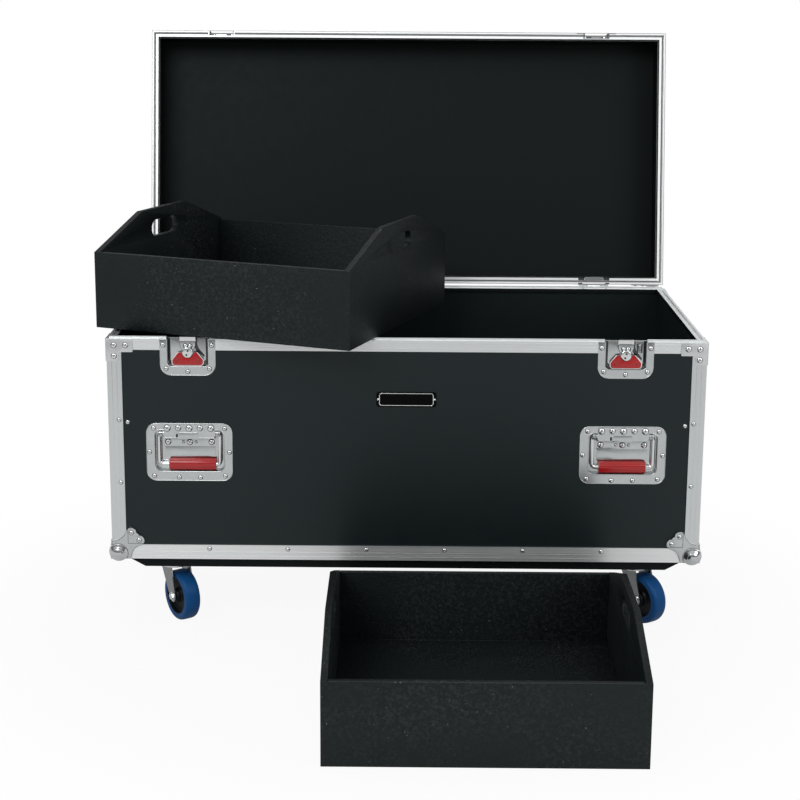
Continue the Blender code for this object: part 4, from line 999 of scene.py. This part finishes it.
def dress_caster(name):
    """Bolt heads on the plate, the swivel's crown, and the axle's nuts."""
    bolt_x, bolt_y, plate_thick, nut = 0.038, 0.033, 0.003, hexagon(7.2)
    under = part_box(f"{name}_plate")[1].z - plate_thick
    swivel = Vector(JOINTS[f"{name}_swivel"]["pos_m"])
    bolts = []
    for sx in SIDES:
        for sy in SIDES:
            spot = Matrix.Translation((swivel.x + sx * bolt_x, swivel.y + sy * bolt_y, under))
            turned = spot @ Matrix.Rotation(math.pi, 4, "X")
            bolts.append((lathe([(8.4, -0.3), (8.4, 0.6), (8.0, 0.9), (0, 0.9)], 24), turned))
            bolts.append((slab(nut, 0.8, 4.6, 0.5), turned))
    piece(f"{name}_bolts", "case", ZINC, bolts)
    roll = JOINTS[f"{name}_roll"]
    nuts = []
    for side in SIDES:
        spot = Matrix.Translation(Vector(roll["pos_m"])) @ facing(Vector(roll["axis"]) * side)
        nuts.append((slab(nut, 21.8, 26.5, 0.6), spot))
        nuts.append((lathe([(9.2, 21.9), (9.2, 23.0), (8.8, 23.4), (0, 23.4)], 24), spot))
    piece(f"{name}_axle_nuts", f"{name}_fork", ZINC, nuts)
    crown = [(0, -0.2), (33.0, -0.2), (33.4, -1.2), (33.4, -2.8), (32.4, -4.3), (0, -4.3)]
    piece(f"{name}_crown", f"{name}_fork", ZINC, [(lathe(crown, 48), Matrix.Translation(swivel))])


TOTE_PARTS = ("trough", "left_end", "right_end")
TOTE_PLY_HALF = 6 * MM
TOTE_ROUND = 0.7 * MM
BOARD_IN, SKIN_THICK = 0.3, 0.35


def tote_frame(name):
    """A tote's own frame from its front board, and its corners in that frame."""
    faces = NODES[f"{name}_trough"].data.polygons
    front = max(faces, key=lambda face: face.area * (face.normal.y < -0.8))
    out = front.normal.normalized()
    up = (Vector((0, 0, 1)) - out * out.z).normalized()
    turn = Matrix((out.cross(up), -out, up)).transposed().to_4x4()
    back = turn.inverted()
    points = []
    for part in TOTE_PARTS:
        points += [back @ vert.co for vert in NODES[f"{name}_{part}"].data.vertices]
    low = Vector(min(point[k] for point in points) for k in range(3))
    high = Vector(max(point[k] for point in points) for k in range(3))
    return turn, low, high


def tote_look(part, spot, level, low, high):
    """Which of a board's three materials a face has: outside; the ends' upward faces, painted lighter for the
    light on them; or inside, painted darker for shade.
    """
    if part != "trough":
        return 1 if level > 0.3 and spot.z > low.z + 0.1 else 0
    inside = low.y + TOTE_PLY_HALF < spot.y < high.y - TOTE_PLY_HALF and spot.z > low.z + TOTE_PLY_HALF
    return 2 if inside else 0


def dress_tote(name):
    """A tote's boards with eased edges in place of the plain ones, and a front that runs over the ends."""
    turn, low, high = tote_frame(name)
    back = turn.inverted()
    tall = max((back @ vert.co).z for vert in NODES[f"{name}_trough"].data.vertices) - low.z
    front = rounded((high.x - low.x) / MM, tall / MM, 0.5)
    spot = turn @ Matrix.Translation(((low.x + high.x) / 2, low.y, low.z + tall / 2)) @ FRONT
    piece(f"{name}_front_skin", name, TOTE, [(slab(front, -SKIN_THICK, 0, 0.3), spot)])
    for part in TOTE_PARTS:
        node = f"{name}_{part}"
        mesh = NODES[node].data.copy()
        mesh.name = node + "_board"
        bm = bmesh.new()
        bm.from_mesh(mesh)
        bmesh.ops.remove_doubles(bm, verts=bm.verts, dist=1e-5)
        bmesh.ops.dissolve_limit(bm, angle_limit=math.radians(1), verts=bm.verts, edges=bm.edges)
        edges = [e for e in bm.edges if len(e.link_faces) == 2 and e.calc_face_angle(0) > math.radians(30)]
        bmesh.ops.bevel(
            bm, geom=edges, offset=TOTE_ROUND, segments=2, profile=0.5, affect="EDGES", clamp_overlap=True
        )
        for vert in bm.verts:
            spot = back @ vert.co
            spot.y = max(spot.y, low.y + BOARD_IN * MM)
            vert.co = turn @ spot
        bm.to_mesh(mesh)
        bm.free()
        mesh.materials.clear()
        for look in (TOTE, TOTE_TOP_LIT, TOTE_IN_SHADED):
            mesh.materials.append(look)
        for face in mesh.polygons:
            level = (back.to_3x3() @ face.normal).z
            face.material_index = tote_look(part, back @ face.center, level, low, high)
        mesh.shade_smooth()
        mesh.set_sharp_from_angle(angle=math.radians(40))
        thing = add_object(node + "_board", mesh)
        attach(thing, name)
        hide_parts(node)


def dress_all():
    """Every piece, pair by pair. The front left grip has slid a little along its bail."""
    low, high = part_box("handle_front_left_dish")
    level = (low.z + high.z) / 2
    for side, word in ((-1, "left"), (1, "right")):
        x = CASE_X + side * LATCH_OUT
        slip = 5.5 if side < 0 else 0.0
        dress_handle(f"handle_front_{word}", Matrix.Translation((x, FRONT_Y, level)) @ FRONT, slip)
        face = LEFT if side < 0 else RIGHT
        dress_handle(f"handle_end_{word}", Matrix.Translation((CASE_X + side * HALF, MIDDLE_Y, level)) @ face)
        dress_latch(f"latch_{word}", Matrix.Translation((x, FRONT_Y, RIM_Z)) @ FRONT)
        dress_hinge(f"hinge_{word}", x)
        dress_keeper(f"keeper_{word}", LID @ Matrix.Translation((x, FRONT_Y, RIM_Z + 0.0005)) @ FRONT)
        for row in ("front", "back"):
            dress_wheel(f"caster_{row}_{word}_wheel")
            dress_caster(f"caster_{row}_{word}")
    dress_corners()
    dress_edges()
    dress_rims()
    dress_lid_skins()
    dress_name_plate()
    dress_tote("crate_upper")
    dress_tote("crate_lower")


dress_all()


def make_stage():
    """A white floor that keeps a soft shadow near the object and is plain white far from it."""
    bm = bmesh.new()
    bmesh.ops.create_circle(bm, cap_ends=True, segments=64, radius=60)
    mesh = bpy.data.meshes.new("floor")
    bm.to_mesh(mesh)
    bm.free()
    floor = add_object("floor", mesh)
    floor.location.z = -0.0005
    g = blank("floor_white")
    g.set(Base_Color=(0.6, 0.6, 0.6, 1), Roughness=0.9)
    glow = g.add("Emission", Color=(1, 1, 1, 1), Strength=1.0)
    away = g.add("VectorMath", {"operation": "LENGTH"})
    g.put(away, "0", g.place())
    far = g.spread(away.outputs["Value"], 0.93, 1.0, 0.65, 1.1)
    blend = g.add("MixShader")
    g.put(blend, "0", g.math("MULTIPLY", g.seen(0.3), far))
    g.put(blend, "1", g.shader.outputs[0])
    g.put(blend, "2", glow.outputs[0])
    g.tree.links.new(blend.outputs[0], g.tree.nodes["Material Output"].inputs["Surface"])
    mesh.materials.append(g.owner)


def make_light():
    """White for the camera. Metal sees the same white, dimmer near the horizon than overhead."""
    world = bpy.data.worlds.new("world")
    bpy.context.scene.world = world
    g = Graph(world)
    back = g.tree.nodes["Background"]
    g.put(back, "Strength", g.spread(g.seen(), 0.42, 1.0))
    height = g.add("SeparateXYZ", Vector=g.add("TexCoord").outputs["Generated"]).outputs["Z"]
    dome = g.spread(height, 0.16, 1.0, 0.1, 0.62)
    g.put(back, "Color", g.math("MAXIMUM", dome, g.add("LightPath").outputs["Is Camera Ray"]))
    lamp("key", (-1.6, -3.0, 3.0), (0, 0, 0.5), (2.4, 1.8), 70)
    lamp("fill", (2.6, -2.4, 1.8), (0, 0, 0.4), (1.8, 2.2), 30)
    lamp("top", (0, 0.6, 3.4), (0, 0.2, 0.5), (3.0, 1.6), 40)


bpy.context.scene.view_settings.view_transform = "Standard"
make_camera()
make_stage()
make_light()
